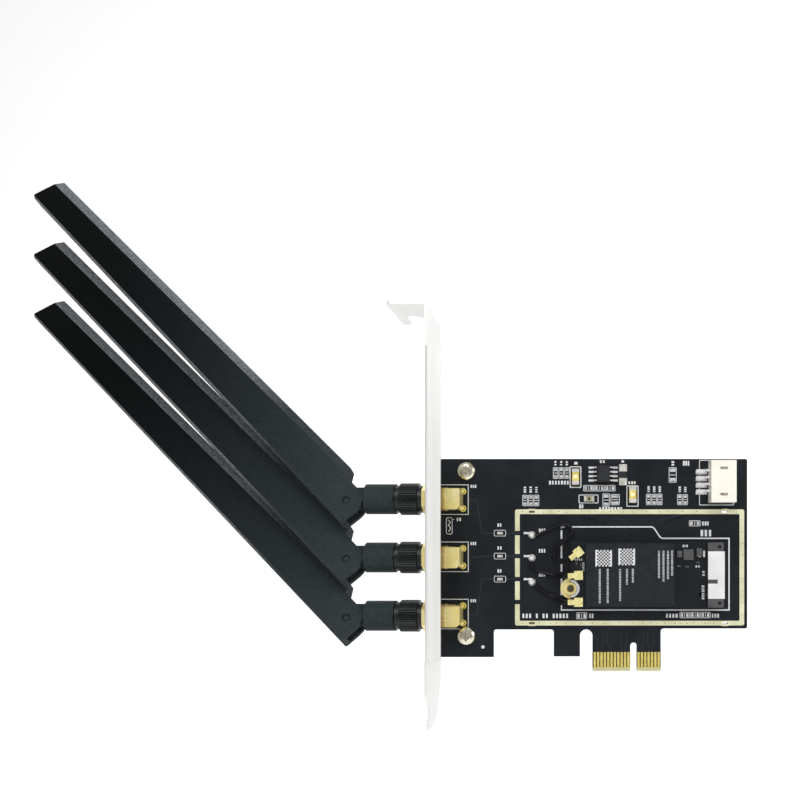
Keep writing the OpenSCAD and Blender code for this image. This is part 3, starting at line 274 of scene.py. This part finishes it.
# Dark tone, light tone, range of roughness, and what differs from material's defaults
LOOKS = {
    # The board and what is printed on it
    "solder_mask": ((0.007, 0.009, 0.012), (0.011, 0.014, 0.018), (0.28, 0.36),
                    dict(scale=120, grain=900, relief=0.08, specular=0.2)),
    "mask_trace": ((0.017, 0.020, 0.025), (0.023, 0.027, 0.033), (0.28, 0.36),
                   dict(scale=200, specular=0.2)),
    "bare_laminate": ((0.52, 0.48, 0.24), (0.66, 0.62, 0.36), (0.5, 0.6),
                      dict(scale=1500, relief=0.1, specular=0.3)),
    "print_white": ((0.60, 0.61, 0.62), (0.76, 0.77, 0.78), (0.5, 0.6),
                    dict(scale=2200, relief=0.1, specular=0.2)),
    "print_grey": ((0.38, 0.39, 0.41), (0.60, 0.61, 0.63), (0.5, 0.6),
                   dict(scale=2600, relief=0.1, specular=0.2)),
    "via_hole": ((0.05, 0.035, 0.012), (0.10, 0.07, 0.025), (0.5, 0.6), dict(scale=2000)),
    # Gold and tin
    "gold_plate": ((0.86, 0.68, 0.15), (0.97, 0.82, 0.26), (0.24, 0.34),
                   dict(metal=0.8, scale=900, relief=0.08)),
    "plug_gold": ((0.90, 0.80, 0.30), (1.0, 0.93, 0.50), (0.24, 0.34),
                  dict(metal=0.5, scale=900, relief=0.08)),
    "ring_plate": ((0.80, 0.78, 0.50), (0.90, 0.89, 0.63), (0.3, 0.42),
                   dict(metal=0.6, scale=300, relief=0.1)),
    "tin_plate": ((0.72, 0.72, 0.73), (0.86, 0.86, 0.87), (0.25, 0.4),
                  dict(metal=0.8, scale=900, relief=0.12)),
    "bright_tin": ((0.84, 0.84, 0.84), (0.92, 0.92, 0.92), (0.3, 0.42),
                   dict(metal=0.4, scale=300, relief=0.08)),
    "chip_ends": ((0.60, 0.58, 0.52), (0.78, 0.77, 0.72), (0.3, 0.45),
                  dict(metal=0.8, scale=900, relief=0.15)),
    "solder": ((0.78, 0.78, 0.78), (0.95, 0.95, 0.95), (0.2, 0.36),
               dict(metal=0.5, scale=1500, grain=1800, relief=0.4)),
    # Other metals
    "bracket_steel": ((0.84, 0.84, 0.82), (0.90, 0.90, 0.88), (0.3, 0.42),
                      dict(metal=0.4, scale=500, stretch=(1, 1, 0.06), grain=1600, relief=0.12,
                           depth=0.00002)),
    "screw_steel": ((0.56, 0.52, 0.38), (0.84, 0.80, 0.66), (0.12, 0.24),
                    dict(metal=1.0, scale=700, relief=0.1)),
    "nut_metal": ((0.007, 0.009, 0.009), (0.016, 0.019, 0.019), (0.26, 0.4),
                  dict(metal=0.1, scale=1400, relief=0.15, specular=0.3)),
    # Plastics and films
    "white_insulator": ((0.80, 0.80, 0.76), (0.88, 0.88, 0.85), (0.4, 0.5), dict(scale=600)),
    "cream_plastic": ((0.86, 0.83, 0.73), (0.91, 0.88, 0.79), (0.38, 0.5),
                      dict(scale=350, relief=0.12, specular=0.3)),
    "dark_plastic": ((0.012, 0.013, 0.015), (0.020, 0.021, 0.024), (0.45, 0.6),
                     dict(scale=1200, relief=0.2, specular=0.3)),
    "socket_plastic": ((0.05, 0.05, 0.052), (0.075, 0.075, 0.078), (0.45, 0.6),
                       dict(scale=900, relief=0.15)),
    "cable_jacket": ((0.003, 0.003, 0.004), (0.007, 0.007, 0.008), (0.3, 0.42),
                     dict(scale=800, relief=0.05, specular=0.12)),
    "label_film": ((0.011, 0.013, 0.016), (0.016, 0.018, 0.022), (0.42, 0.52),
                   dict(scale=500, grain=2600, relief=0.1, specular=0.2)),
    # Small parts, and shade in holes and gaps
    "capacitor_body": ((0.62, 0.46, 0.07), (0.86, 0.74, 0.26), (0.3, 0.45),
                       dict(scale=380, relief=0.15, specular=0.4)),
    "capacitor_glint": ((0.90, 0.80, 0.40), (1.0, 0.94, 0.62), (0.3, 0.45),
                        dict(scale=700, specular=0.4)),
    "fuse_body": ((0.30, 0.29, 0.17), (0.42, 0.40, 0.25), (0.4, 0.5),
                  dict(scale=1500, relief=0.1, specular=0.3)),
    "hole_shade": ((0.04, 0.04, 0.025), (0.07, 0.065, 0.04), (0.5, 0.6),
                   dict(scale=1500, specular=0.1)),
    "pin_groove": ((0.002, 0.002, 0.003), (0.004, 0.004, 0.005), (0.5, 0.6),
                   dict(scale=1500, specular=0.1)),
}
MATERIALS = {name: material(name, dark, light, rough, **rest)
             for name, (dark, light, rough, rest) in LOOKS.items()}
MATERIALS["antenna_plastic"] = antenna_plastic()
MATERIALS["jack_brass"] = jack_brass()

NODE_MATERIALS = {
    "ground_ring": "ring_plate",
    "module_chips": "socket_plastic",
    "pigtail_plug_top": "plug_gold",
    "pigtail_plug_middle": "plug_gold",
    "pigtail_plug_bottom": "plug_gold",
    "fuse": "chip_ends",
    "coupling_capacitors": "chip_ends",
    "ferrite_bead": "chip_ends",
    "socket_housing": "socket_plastic",
    "socket_cover": "bright_tin",
    "header_pins": "bright_tin",
    "solder_joints": "solder",
}
SLOT_MATERIALS = {
    "board_laminate": "solder_mask",
    "shield_label": "label_film",
    "part_terminals": "chip_ends",
}


def paint_nodes():
    """Gives each CAD node the look of its own, or that of its slot."""
    for part in frame["record"]["subparts"]:
        node = part["node"]
        slot_name = part["material_slot"]
        look = NODE_MATERIALS.get(node, SLOT_MATERIALS.get(slot_name, slot_name))
        looks = frame["nodes"][node].data.materials
        looks.clear()
        looks.append(MATERIALS[look])


# Outlines and pieces

def steps(start, end, count):
    """Angles in radians from start up to end, given in degrees; end itself isn't among them."""
    return [math.radians(start + (end - start) * i / count) for i in range(count)]


def rounded(x0, x1, z0, z1, r, corner=4):
    """The points of a rectangle with rounded corners."""
    points = []
    for cx, cz, turn in ((x1 - r, z1 - r, 0), (x0 + r, z1 - r, 90),
                         (x0 + r, z0 + r, 180), (x1 - r, z0 + r, 270)):
        for i in range(corner + 1):
            a = math.radians(turn + 90 * i / corner)
            points.append((cx + r * math.cos(a), cz + r * math.sin(a)))
    return points


def s_curve(x0, z0, x1, z1, count=12):
    """Points from one place to another that leave and arrive level."""
    points = []
    for i in range(1, count + 1):
        t = i / count
        ease = t * t * (3 - 2 * t)
        points.append((x0 + (x1 - x0) * t, z0 + (z1 - z0) * ease))
    return points


def emit(mesh, name, look, body, smooth=False):
    """Turns a bmesh into a piece that rides on a body."""
    data = bpy.data.meshes.new(name)
    mesh.to_mesh(data)
    mesh.free()
    data.materials.append(MATERIALS[look])
    if smooth:
        data.polygons.foreach_set("use_smooth", [True] * len(data.polygons))
    o = bpy.data.objects.new(name, data)
    bpy.context.scene.collection.objects.link(o)
    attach(o, body)


class Plan:
    """Flat shapes gathered at one height above the board, made into one piece at the end."""

    def __init__(self, height):
        self.mesh = bmesh.new()
        self.y = FACE_Y - height

    def face(self, points):
        verts = [self.mesh.verts.new((x * MM, self.y * MM, z * MM)) for x, z in points]
        made = self.mesh.faces.new(verts)
        made.normal_update()
        if made.normal.y > 0:
            made.normal_flip()

    def rect(self, x0, x1, z0, z1):
        self.face([(x0, z0), (x1, z0), (x1, z1), (x0, z1)])

    def disc(self, x, z, r, sides=16):
        self.face([(x + r * math.cos(a), z + r * math.sin(a)) for a in steps(0, 360, sides)])

    def arc(self, x, z, r, width, start=0, end=360, sides=32):
        """A band round a centre, from one angle to another."""
        angles = steps(start, end, sides) + [math.radians(end)]
        for a, b in zip(angles, angles[1:]):
            self.face([(x + q * math.cos(t), z + q * math.sin(t))
                       for q, t in ((r, a), (r + width, a), (r + width, b), (r, b))])

    def line(self, points, width):
        """A band along a polyline, with mitred corners."""
        half = width / 2
        sharpest = 0.4
        sides = []
        for i, (x, z) in enumerate(points):
            before = Vector(points[max(i - 1, 0)])
            after = Vector(points[min(i + 1, len(points) - 1)])
            here = Vector((x, z))
            arms = [v.normalized() for v in (here - before, after - here) if v.length > 1e-9]
            normals = [Vector((-v.y, v.x)) for v in arms]
            mitre = sum(normals, Vector((0, 0))).normalized()
            mitre *= half / max(mitre.dot(normals[0]), sharpest)
            sides.append((here + mitre, here - mitre))
        for (a, b), (c, d) in zip(sides, sides[1:]):
            self.face([tuple(a), tuple(b), tuple(d), tuple(c)])

    def outline(self, x0, x1, z0, z1, width, r):
        """A rounded rectangle drawn as a band."""
        outer = rounded(x0, x1, z0, z1, r)
        inner = rounded(x0 + width, x1 - width, z0 + width, z1 - width, max(r - width, 0.02))
        for i in range(len(outer)):
            j = (i + 1) % len(outer)
            self.face([outer[i], outer[j], inner[j], inner[i]])

    def marks(self, x0, x1, z0, z1, count):
        """A row of plain strokes that takes the place of a printed word."""
        upright = z1 - z0 > x1 - x0
        length = (z1 - z0) if upright else (x1 - x0)
        pitch = length / count
        for i in range(count):
            a = pitch * (i + 0.12)
            b = a + pitch * rng.uniform(0.5, 0.76)
            if upright:
                self.rect(x0, x1, z0 + a, z0 + b)
            else:
                self.rect(x0 + a, x0 + b, z0, z1)

    def emit(self, name, look, slot="white_insulator"):
        emit(self.mesh, name, look, "card")


# White print on the board: outlines of parts, and plain strokes where words would be

def part_outline(p, x0, x1, z0, z1):
    """The outline of a part that isn't fitted, with a bar between its two pads."""
    half_bar = 0.1
    cx = (x0 + x1) / 2
    cz = (z0 + z1) / 2
    p.outline(x0, x1, z0, z1, width=0.17, r=0.25)
    if z1 - z0 > x1 - x0:
        p.rect(x0 + PART_INSET, x1 - PART_INSET, cz - half_bar, cz + half_bar)
    else:
        p.rect(cx - half_bar, cx + half_bar, z0 + PART_INSET, z1 - PART_INSET)


def jack_print(p):
    """Frames that open towards the bracket, a boxed zigzag between two jacks, and two dots."""
    for z in JACK_Z:
        p.line([(-57.4, z + 4.5), (-49.1, z + 4.5), (-49.1, z - 4.3), (-57.4, z - 4.3)],
               width=0.2)
    p.outline(-55.7, -53.8, 40.7, 45.7, width=0.18, r=0.5)
    p.line([(-55.2, 45.0), (-54.4, 44.3), (-55.0, 43.4), (-54.3, 42.6), (-54.9, 41.5)],
           width=0.24)
    p.disc(-53.4, 45.1, r=0.16)
    p.disc(-44.75, 7.2, r=0.5)


def fitted_outlines(p):
    """Outlines round the parts that are fitted: lead capacitors, two bulk ones, fuse, header."""
    for z in LEAD_JOINT_Z:
        p.outline(-41.45, -37.9, z - 0.95, z + 0.95, width=0.16, r=0.4)
    for x0, x1, z0, z1, width in ((-18.95, -15.5, 54.5, 60.9, 0.28),
                                  (-2.1, 1.5, 48.9, 55.2, 0.28),
                                  (-16.3, -10.4, 49.9, 52.5, 0.24),
                                  (19.5, 29.9, 49.3, 62.8, 0.22)):
        p.outline(x0, x1, z0, z1, width, r=0.3)


def module_frame(p):
    """The line round the module, with a dashed side towards the bracket."""
    left, right = -21.4, 28.4
    low, high, lower_high = 18.2, 42.9, 39.5
    slope = (5.4, 8.6)
    width = 0.4
    p.line([(-18.3, high), (slope[0], high)] + s_curve(slope[0], high, slope[1], lower_high)
           + [(right, lower_high), (right, low), (left, low), (left, 19.6)], width)
    for z0, z1 in ((22.6, 27.5), (29.6, 31.8), (33.6, 38.0), (39.3, 41.9)):
        p.rect(left - 0.25, left + 0.25, z0, z1)
    p.line([(left, 42.4), (left, high), (-20.4, high)], width)


def row_strokes(p):
    """A row of bars along the lower edge, with three gaps."""
    for i in range(14):
        if i not in (3, 5, 8):
            p.rect(-33.0 + i, -32.45 + i, 15.8, 17.1)


def board_words():
    """Where words would be: (left, right, low, high, strokes), in the order of their draws."""
    words = [(-48.5, -46.6, z + 3.6, z + 4.5, 3) for z in JACK_Z]
    words += [(-40.5, -39.0, z + 1.9, z + 2.9, 2) for z in LEAD_JOINT_Z]
    words += [(-52.6, -51.1, 44.6, 45.6, 2)]
    words += [(x + 0.4, x + 1.1, 53.0, 55.0, 3) for x in (-33.0, -31.3, -29.6)]
    words += [(x + 0.4, x + 1.0, 61.1, 62.6, 2) for x in (-23.9, -22.2, -20.5)]
    words += [(-25.2, -19.0, 55.5, 56.6, 7), (-17.6, -16.6, 61.3, 62.5, 1),
              (-10.1, -8.3, 61.9, 62.7, 2), (-16.2, -14.8, 48.4, 49.6, 2),
              (-10.3, -3.1, 47.95, 48.75, 8), (-1.6, 0.9, 55.6, 56.4, 3),
              (-3.6, -2.8, 61.9, 62.9, 1)]
    words += [(x + 0.4, x + 1.1, 53.2, 55.1, 3) for x in (3.75, 5.4, 7.05)]
    words += [(x + 0.4, x + 1.1, 53.2, 55.0, 3) for x in (13.0, 14.65)]
    words += [(11.3, 12.1, 61.0, 62.6, 2), (14.6, 16.8, 61.1, 62.5, 3),
              (20.3, 22.6, 43.3, 44.5, 3), (19.8, 23.5, 40.1, 42.0, 3),
              (-13.2, -11.8, 15.8, 17.1, 2), (9.6, 13.3, 15.9, 17.1, 4),
              (23.2, 25.6, 15.9, 17.1, 3)]
    words += [(-28.2, -26.0, z - 0.55, z + 0.55, 3) for z in (41.8, 35.8, 28.7)]
    return words


def board_print():
    p = Plan(PRINT_LIFT)
    for part in UPRIGHT_PARTS + FLAT_PARTS:
        part_outline(p, *part)
    jack_print(p)
    fitted_outlines(p)
    module_frame(p)
    row_strokes(p)
    for word in board_words():
        p.marks(*word)
    p.emit("board_print", "print_white")


# Bare tinned pads of the parts that aren't fitted, and the pads round those that are

def board_pads():
    p = Plan(PAD_LIFT)
    pad_share = 0.22
    side_inset = 0.32
    for x0, x1, z0, z1 in UPRIGHT_PARTS:
        pad = (z1 - z0) * pad_share
        for low in (z0 + PART_INSET, z1 - PART_INSET - pad):
            p.rect(x0 + side_inset, x1 - side_inset, low, low + pad)
    for x0, x1, z0, z1 in FLAT_PARTS:
        pad = (x1 - x0) * pad_share
        for left in (x0 + PART_INSET, x1 - PART_INSET - pad):
            p.rect(left, left + pad, z0 + PART_INSET, z1 - PART_INSET)
    regulator_z, regulator_pitch = 58.6, 1.27
    header_z, header_pitch = 56.1, 2
    for i in range(4):
        z = regulator_z + (i - 1.5) * regulator_pitch
        for x in (-12.6, -5.4):
            p.rect(x - 0.75, x + 0.75, z - 0.32, z + 0.32)
        z = header_z + (i - 1.5) * header_pitch
        p.rect(18.5, 21.9, z - 0.6, z + 0.6)
    p.emit("board_pads", "tin_plate", slot="tin_plate")


# Faces of small parts whose middle or ends have another colour, and a painted highlight on the
# middle of the bulk capacitors

def capacitor_ends():
    """Tinned ends on the bulk capacitors."""
    p = Plan(CAPACITOR_H + PAD_LIFT)
    for x, z, length in CAPACITORS:
        cap = 0.22 * length
        for low in (z - length / 2, z + length / 2 - cap):
            p.rect(x - 1.05, x + 1.05, low, low + cap)
    p.emit("capacitor_ends", "tin_plate", slot="tin_plate")


def capacitor_glints():
    """A paler middle where the bulk capacitors catch the light."""
    p = Plan(CAPACITOR_H + 2 * PAD_LIFT)
    for x, z, _ in CAPACITORS:
        p.rect(x - 0.6, x + 0.6, z - 0.55, z + 0.55)
    p.emit("capacitor_glints", "capacitor_glint", slot="capacitor_body")


def one_face(height, box, name, look, slot):
    """A rectangle on the top of a part."""
    p = Plan(height)
    p.rect(*box)
    p.emit(name, look, slot=slot)


def chip_faces():
    capacitor_ends()
    one_face(BEAD_H + PAD_LIFT, (-4.26, -2.04, 57.31, 59.29),
             "diode_body", "dark_plastic", "dark_plastic")
    capacitor_glints()
    one_face(FUSE_H + PRINT_LIFT, (-14.04, -12.36, 50.44, 51.96),
             "fuse_face", "fuse_body", "part_terminals")
    one_face(FUSE_H + PRINT_LIFT + PAD_LIFT, (-13.55, -12.85, 50.8, 51.6),
             "fuse_mark", "dark_plastic", "dark_plastic")


def module_chip_ends():
    """Pale strips by the chip at the far end of the module."""
    p = Plan(MODULE_CHIP_H + PAD_LIFT)
    for x in (18.7, 20.0):
        p.rect(x, x + 0.55, 34.0, 35.9)
    p.emit("module_chip_ends", "chip_ends", slot="part_terminals")


def standoff_hole():
    p = Plan(STANDOFF_H + PRINT_LIFT)
    p.disc(*STANDOFF, r=0.85, sides=24)
    p.emit("standoff_hole", "hole_shade", slot="jack_brass")


def slot_fills():
    """A dark brown fill in the two ring slots nearer to the bracket."""
    p = Plan(FILL_LIFT)
    for z in RING_Z:
        p.face(rounded(-31.1, -29.3, z - 0.3, z + 0.3, 0.29))
    p.emit("slot_fills", "via_hole", slot="tin_plate")


def edge_band():
    """Bare laminate on the lead-in bevels, and the feet of the fingers above it."""
    band = bmesh.new()
    feet = bmesh.new()
    lift = 0.02
    foot_lift = 0.04
    half_foot = 0.35
    foot_low, foot_high = 1.1, 1.65
    high, deep = EDGE_BEVEL
    for side, face in ((-1, FACE_Y), (1, REAR_Y)):
        y_top = (face + side * lift) * MM
        y_low = (face - side * (deep - lift)) * MM
        for x0, x1 in EDGE_TONGUES:
            corners = ((x0, y_low, lift), (x1, y_low, lift), (x1, y_top, high), (x0, y_top, high))
            band.faces.new([band.verts.new((x * MM, y, z * MM)) for x, y, z in corners])
        for x in FINGER_X:
            left, right = x - half_foot, x + half_foot
            corners = ((left, foot_low), (right, foot_low), (right, foot_high), (left, foot_high))
            feet.faces.new([feet.verts.new((cx * MM, (face + side * foot_lift) * MM, z * MM))
                            for cx, z in corners])
    for mesh in (band, feet):
        bmesh.ops.recalc_face_normals(mesh, faces=mesh.faces)
    emit(band, "edge_band", "bare_laminate", "card")
    emit(feet, "finger_feet", "gold_plate", "card")


# Antennas

def blade_point(row, along, up, out):
    """A point of a blade: along it from its pin, to its upper side and out of its face."""
    tilt = math.radians(TILT[row])
    lean = math.radians(LEAN[row])
    x = PIN_X - along * math.cos(tilt) + up * math.sin(tilt)
    z = along * math.sin(tilt) + up * math.cos(tilt) - PIN_DROP
    return (x * MM, (JACK_Y - out * math.cos(lean) + z * math.sin(lean)) * MM,
            (JACK_Z[row] + out * math.sin(lean) + z * math.cos(lean)) * MM)


def pin_grooves():
    """The dark gap round the head of each hinge pin."""
    inner_r, outer_r = 0.85, 1.18
    lift = 0.02
    angles = steps(0, 360, 32)
    for row, name in enumerate(ROWS):
        mesh = bmesh.new()
        for out in (-PIN_FACE - lift, PIN_FACE + lift):
            for a, b in zip(angles, angles[1:] + angles[:1]):
                corners = ((inner_r, a), (outer_r, a), (outer_r, b), (inner_r, b))
                mesh.faces.new([
                    mesh.verts.new(blade_point(row, r * math.cos(t), r * math.sin(t), out))
                    for r, t in corners])
        emit(mesh, "pin_groove_" + name, "pin_groove", "antenna_" + name)


# Thin raised copper under the mask: from the fingers up, and from the joints to the jacks

def board_traces():
    p = Plan(TRACE_LIFT)
    finger_width, feed_width, bundle_width = 0.22, 0.45, 0.18
    ends = []
    for i, x in enumerate((-10.5, -9.5, -7.5, -6.5, -3.5, -2.5, 1.5, 2.5, 4.5, 5.5)):
        top = 10.4 + 0.5 * (i % 3)
        sideways = 0.5 if i % 2 else -0.3
        p.line([(x, 5.7), (x, 7.6), (x + sideways, 8.6), (x + sideways, top)],
               finger_width)
        ends.append((x + sideways, top))
    for i, z in enumerate(LEAD_JOINT_Z):
        p.line([(-33.6, z), (-38.2, z)], feed_width)
        mid = -43.5 - 1.5 * abs(i - 1)
        p.line([(-40.9, z), (mid, z), (-46.6, JACK_Z[i]), (-49.0, JACK_Z[i])], feed_width)
    for i in range(6):
        z = 45.6 - 0.55 * i
        p.line([(-17.0 + i, 46.2), (-12.0 + i, z), (12.0 - i, z), (17.0 - i, 46.2)],
               bundle_width)
    for x, z in ends:
        p.arc(x, z, r=0.16, width=0.16, sides=12)
    p.emit("board_traces", "mask_trace", slot="board_laminate")


def ring_vias():
    """Small drilled holes along the plated ring, away from its slots."""
    p = Plan(RING_H + HOLE_LIFT)
    hole_r, hole_sides = 0.13, 8
    stray = 0.15
    left, right = -33.0, 31.5
    slots_x = (-30.2, 27.2)
    for z in RING_Z:
        x = left
        while x < right:
            if min(abs(x - slot_x) for slot_x in slots_x) > 2.0:
                p.disc(x, z + rng.uniform(-stray, stray), hole_r, hole_sides)
            x += rng.uniform(1.8, 4.6)
    for i in range(9):
        p.disc(32.2 + rng.uniform(-stray, stray), 17.0 + 3.5 * i, hole_r, hole_sides)
    p.emit("ring_vias", "via_hole", slot="gold_plate")


# Solder at the legs of the jacks on the rear face, and their annular pads on the front

def lathe(mesh, centre, profile, sides=24):
    """Turns (radius, distance along Y) pairs round an axis along Y."""
    rings = []
    for r, y in profile:
        rings.append([mesh.verts.new(((centre[0] + r * math.cos(a)) * MM, y * MM,
                                      (centre[1] + r * math.sin(a)) * MM))
                      for a in steps(0, 360, sides)])
    for low, high in zip(rings, rings[1:]):
        for i in range(sides):
            j = (i + 1) % sides
            mesh.faces.new((low[i], low[j], high[j], high[i]))


def leg_solder():
    mesh = bmesh.new()
    cone = [(0.98, 0.01), (0.93, 0.08), (0.66, 0.26), (0.54, 0.5), (0.52, 0.6)]
    profile = [(r, REAR_Y + height) for r, height in cone]
    for z in JACK_Z:
        legs = [(x, z + dz) for x in JACK_LEG_X for dz in (-JACK_LEG_DZ, JACK_LEG_DZ)]
        for centre in legs + [(JACK_PIN_X, z)]:
            lathe(mesh, centre, profile)
    bmesh.ops.recalc_face_normals(mesh, faces=mesh.faces)
    emit(mesh, "leg_solder", "tin_plate", "card", smooth=True)


def leg_pads():
    p = Plan(PRINT_LIFT)
    for z in JACK_Z:
        for dz in (-JACK_LEG_DZ, JACK_LEG_DZ):
            p.arc(JACK_LEG_X[0], z + dz, r=0.6, width=0.42)
    p.emit("leg_pads", "gold_plate", slot="gold_plate")


# Print on the module: plain marks on its label, and the plated half ring round the standoff

def label_squares():
    """Two plain chequered squares."""
    p = Plan(LABEL_H + PRINT_LIFT)
    cells = 10
    side = 4.8 / cells
    for x0, z0 in ((-11.4, 31.3), (-4.7, 31.7)):
        for i in range(cells):
            for j in range(cells):
                if (i + j) % 2 == 0 or i in (0, cells - 1):
                    p.rect(x0 + i * side, x0 + (i + 1) * side, z0 + j * side,
                           z0 + (j + 1) * side)
    p.emit("label_squares", "print_white")


def label_words():
    """Columns of plain strokes: (left, low, high, strokes)."""
    p = Plan(LABEL_H + PRINT_LIFT)
    for x, z0, z1, count in ((-10.5, 20.6, 30.7, 22), (-8.2, 20.7, 30.7, 22),
                             (-4.6, 21.2, 30.7, 20), (-2.6, 26.0, 30.7, 10),
                             (-0.9, 26.6, 30.7, 9), (6.7, 27.9, 36.0, 19),
                             (8.0, 26.9, 36.0, 21), (9.3, 27.6, 36.0, 19),
                             (10.5, 28.6, 36.0, 17)):
        p.marks(x + 0.08, x + 0.66, z0, z1, count)
    p.emit("label_words", "print_grey")


def module_print():
    p = Plan(MODULE_H + PRINT_LIFT)
    for word in ((19.7, 20.5, 21.6, 25.8, 6), (19.9, 20.6, 28.4, 30.2, 2),
                 (14.0, 15.8, 36.9, 37.6, 2), (17.8, 19.4, 31.0, 31.6, 2),
                 (-17.6, -15.0, 33.0, 33.6, 4), (-15.2, -14.6, 29.9, 32.6, 4)):
        p.marks(*word)
    p.emit("module_print", "print_grey")


def module_pad():
    p = Plan(MODULE_H + PAD_LIFT)
    p.arc(*STANDOFF, r=1.85, width=0.75, start=-88, end=88, sides=40)
    p.emit("module_pad", "tin_plate", slot="tin_plate")


paint_nodes()
board_print()
board_pads()
chip_faces()
module_chip_ends()
standoff_hole()
slot_fills()
edge_band()
pin_grooves()
board_traces()
ring_vias()
leg_solder()
leg_pads()
label_squares()
label_words()
module_print()
module_pad()


# Light and backdrop, in metres and watts

def backdrop_paper():
    """Pale paper that the camera, and reflections with it, see a little brighter."""
    m, tree, shader = blank("backdrop_paper")
    glow = 0.36
    tone = noise(tree, 3, detail=2)
    tree.links.new(mix(tree, tone, (0.93, 0.93, 0.93), (0.96, 0.96, 0.96)),
                   shader.inputs["Base Color"])
    shader.inputs["Roughness"].default_value = 0.9
    shader.inputs["Specular IOR Level"].default_value = 0.1
    path = tree.nodes.new("ShaderNodeLightPath")
    seen = math_node(tree, "MAXIMUM", path.outputs["Is Camera Ray"],
                     path.outputs["Is Glossy Ray"])
    seen = math_node(tree, "MAXIMUM", seen, path.outputs["Is Transmission Ray"])
    shader.inputs["Emission Color"].default_value = (1, 1, 1, 1)
    tree.links.new(math_node(tree, "MULTIPLY", seen, glow), shader.inputs["Emission Strength"])
    return m


def backdrop():
    """A pale floor that sweeps up into a wall behind the part."""
    floor_z, wall_top = -0.42, 2.4
    floor_front, floor_back = -1.6, 0.9
    sweep_r, sweep_steps = 0.5, 12
    half_width = 3.0
    profile = [(floor_front, floor_z), (floor_back, floor_z)]
    for i in range(1, sweep_steps + 1):
        a = math.radians(90 * i / sweep_steps)
        profile.append((floor_back + sweep_r * math.sin(a),
                        floor_z + sweep_r * (1 - math.cos(a))))
    profile.append((floor_back + sweep_r, wall_top))
    mesh = bmesh.new()
    rows = [[mesh.verts.new((x, y, z)) for x in (-half_width, half_width)] for y, z in profile]
    for a, b in zip(rows, rows[1:]):
        mesh.faces.new((a[0], a[1], b[1], b[0]))
    data = bpy.data.meshes.new("backdrop")
    mesh.to_mesh(data)
    mesh.free()
    data.polygons.foreach_set("use_smooth", [True] * len(data.polygons))
    data.materials.append(backdrop_paper())
    o = bpy.data.objects.new("backdrop", data)
    bpy.context.scene.collection.objects.link(o)


def area_light(name, place, target, size, watts):
    data = bpy.data.lights.new(name, "AREA")
    data.shape = "RECTANGLE"
    data.size, data.size_y = size
    data.energy = watts
    o = bpy.data.objects.new(name, data)
    o.location = place
    o.rotation_euler = (Vector(target) - Vector(place)).to_track_quat("-Z", "Y").to_euler()
    bpy.context.scene.collection.objects.link(o)


backdrop()
world = bpy.data.worlds.new("studio")
world.use_nodes = True
world.node_tree.nodes["Background"].inputs["Color"].default_value = (1, 1, 1, 1)
world.node_tree.nodes["Background"].inputs["Strength"].default_value = 0.45
bpy.context.scene.world = world
card_centre = (-0.09, 0, 0.06)
low_on_wall = (0, 1.2, 0.2)
area_light("key", (-0.1, -1.0, 1.0), card_centre, (0.8, 0.8), 10.5)
area_light("fill", (0.9, -0.7, 0.3), card_centre, (0.5, 0.5), 4)
area_light("back", (0.0, 0.6, 1.1), low_on_wall, (1.6, 0.6), 5)
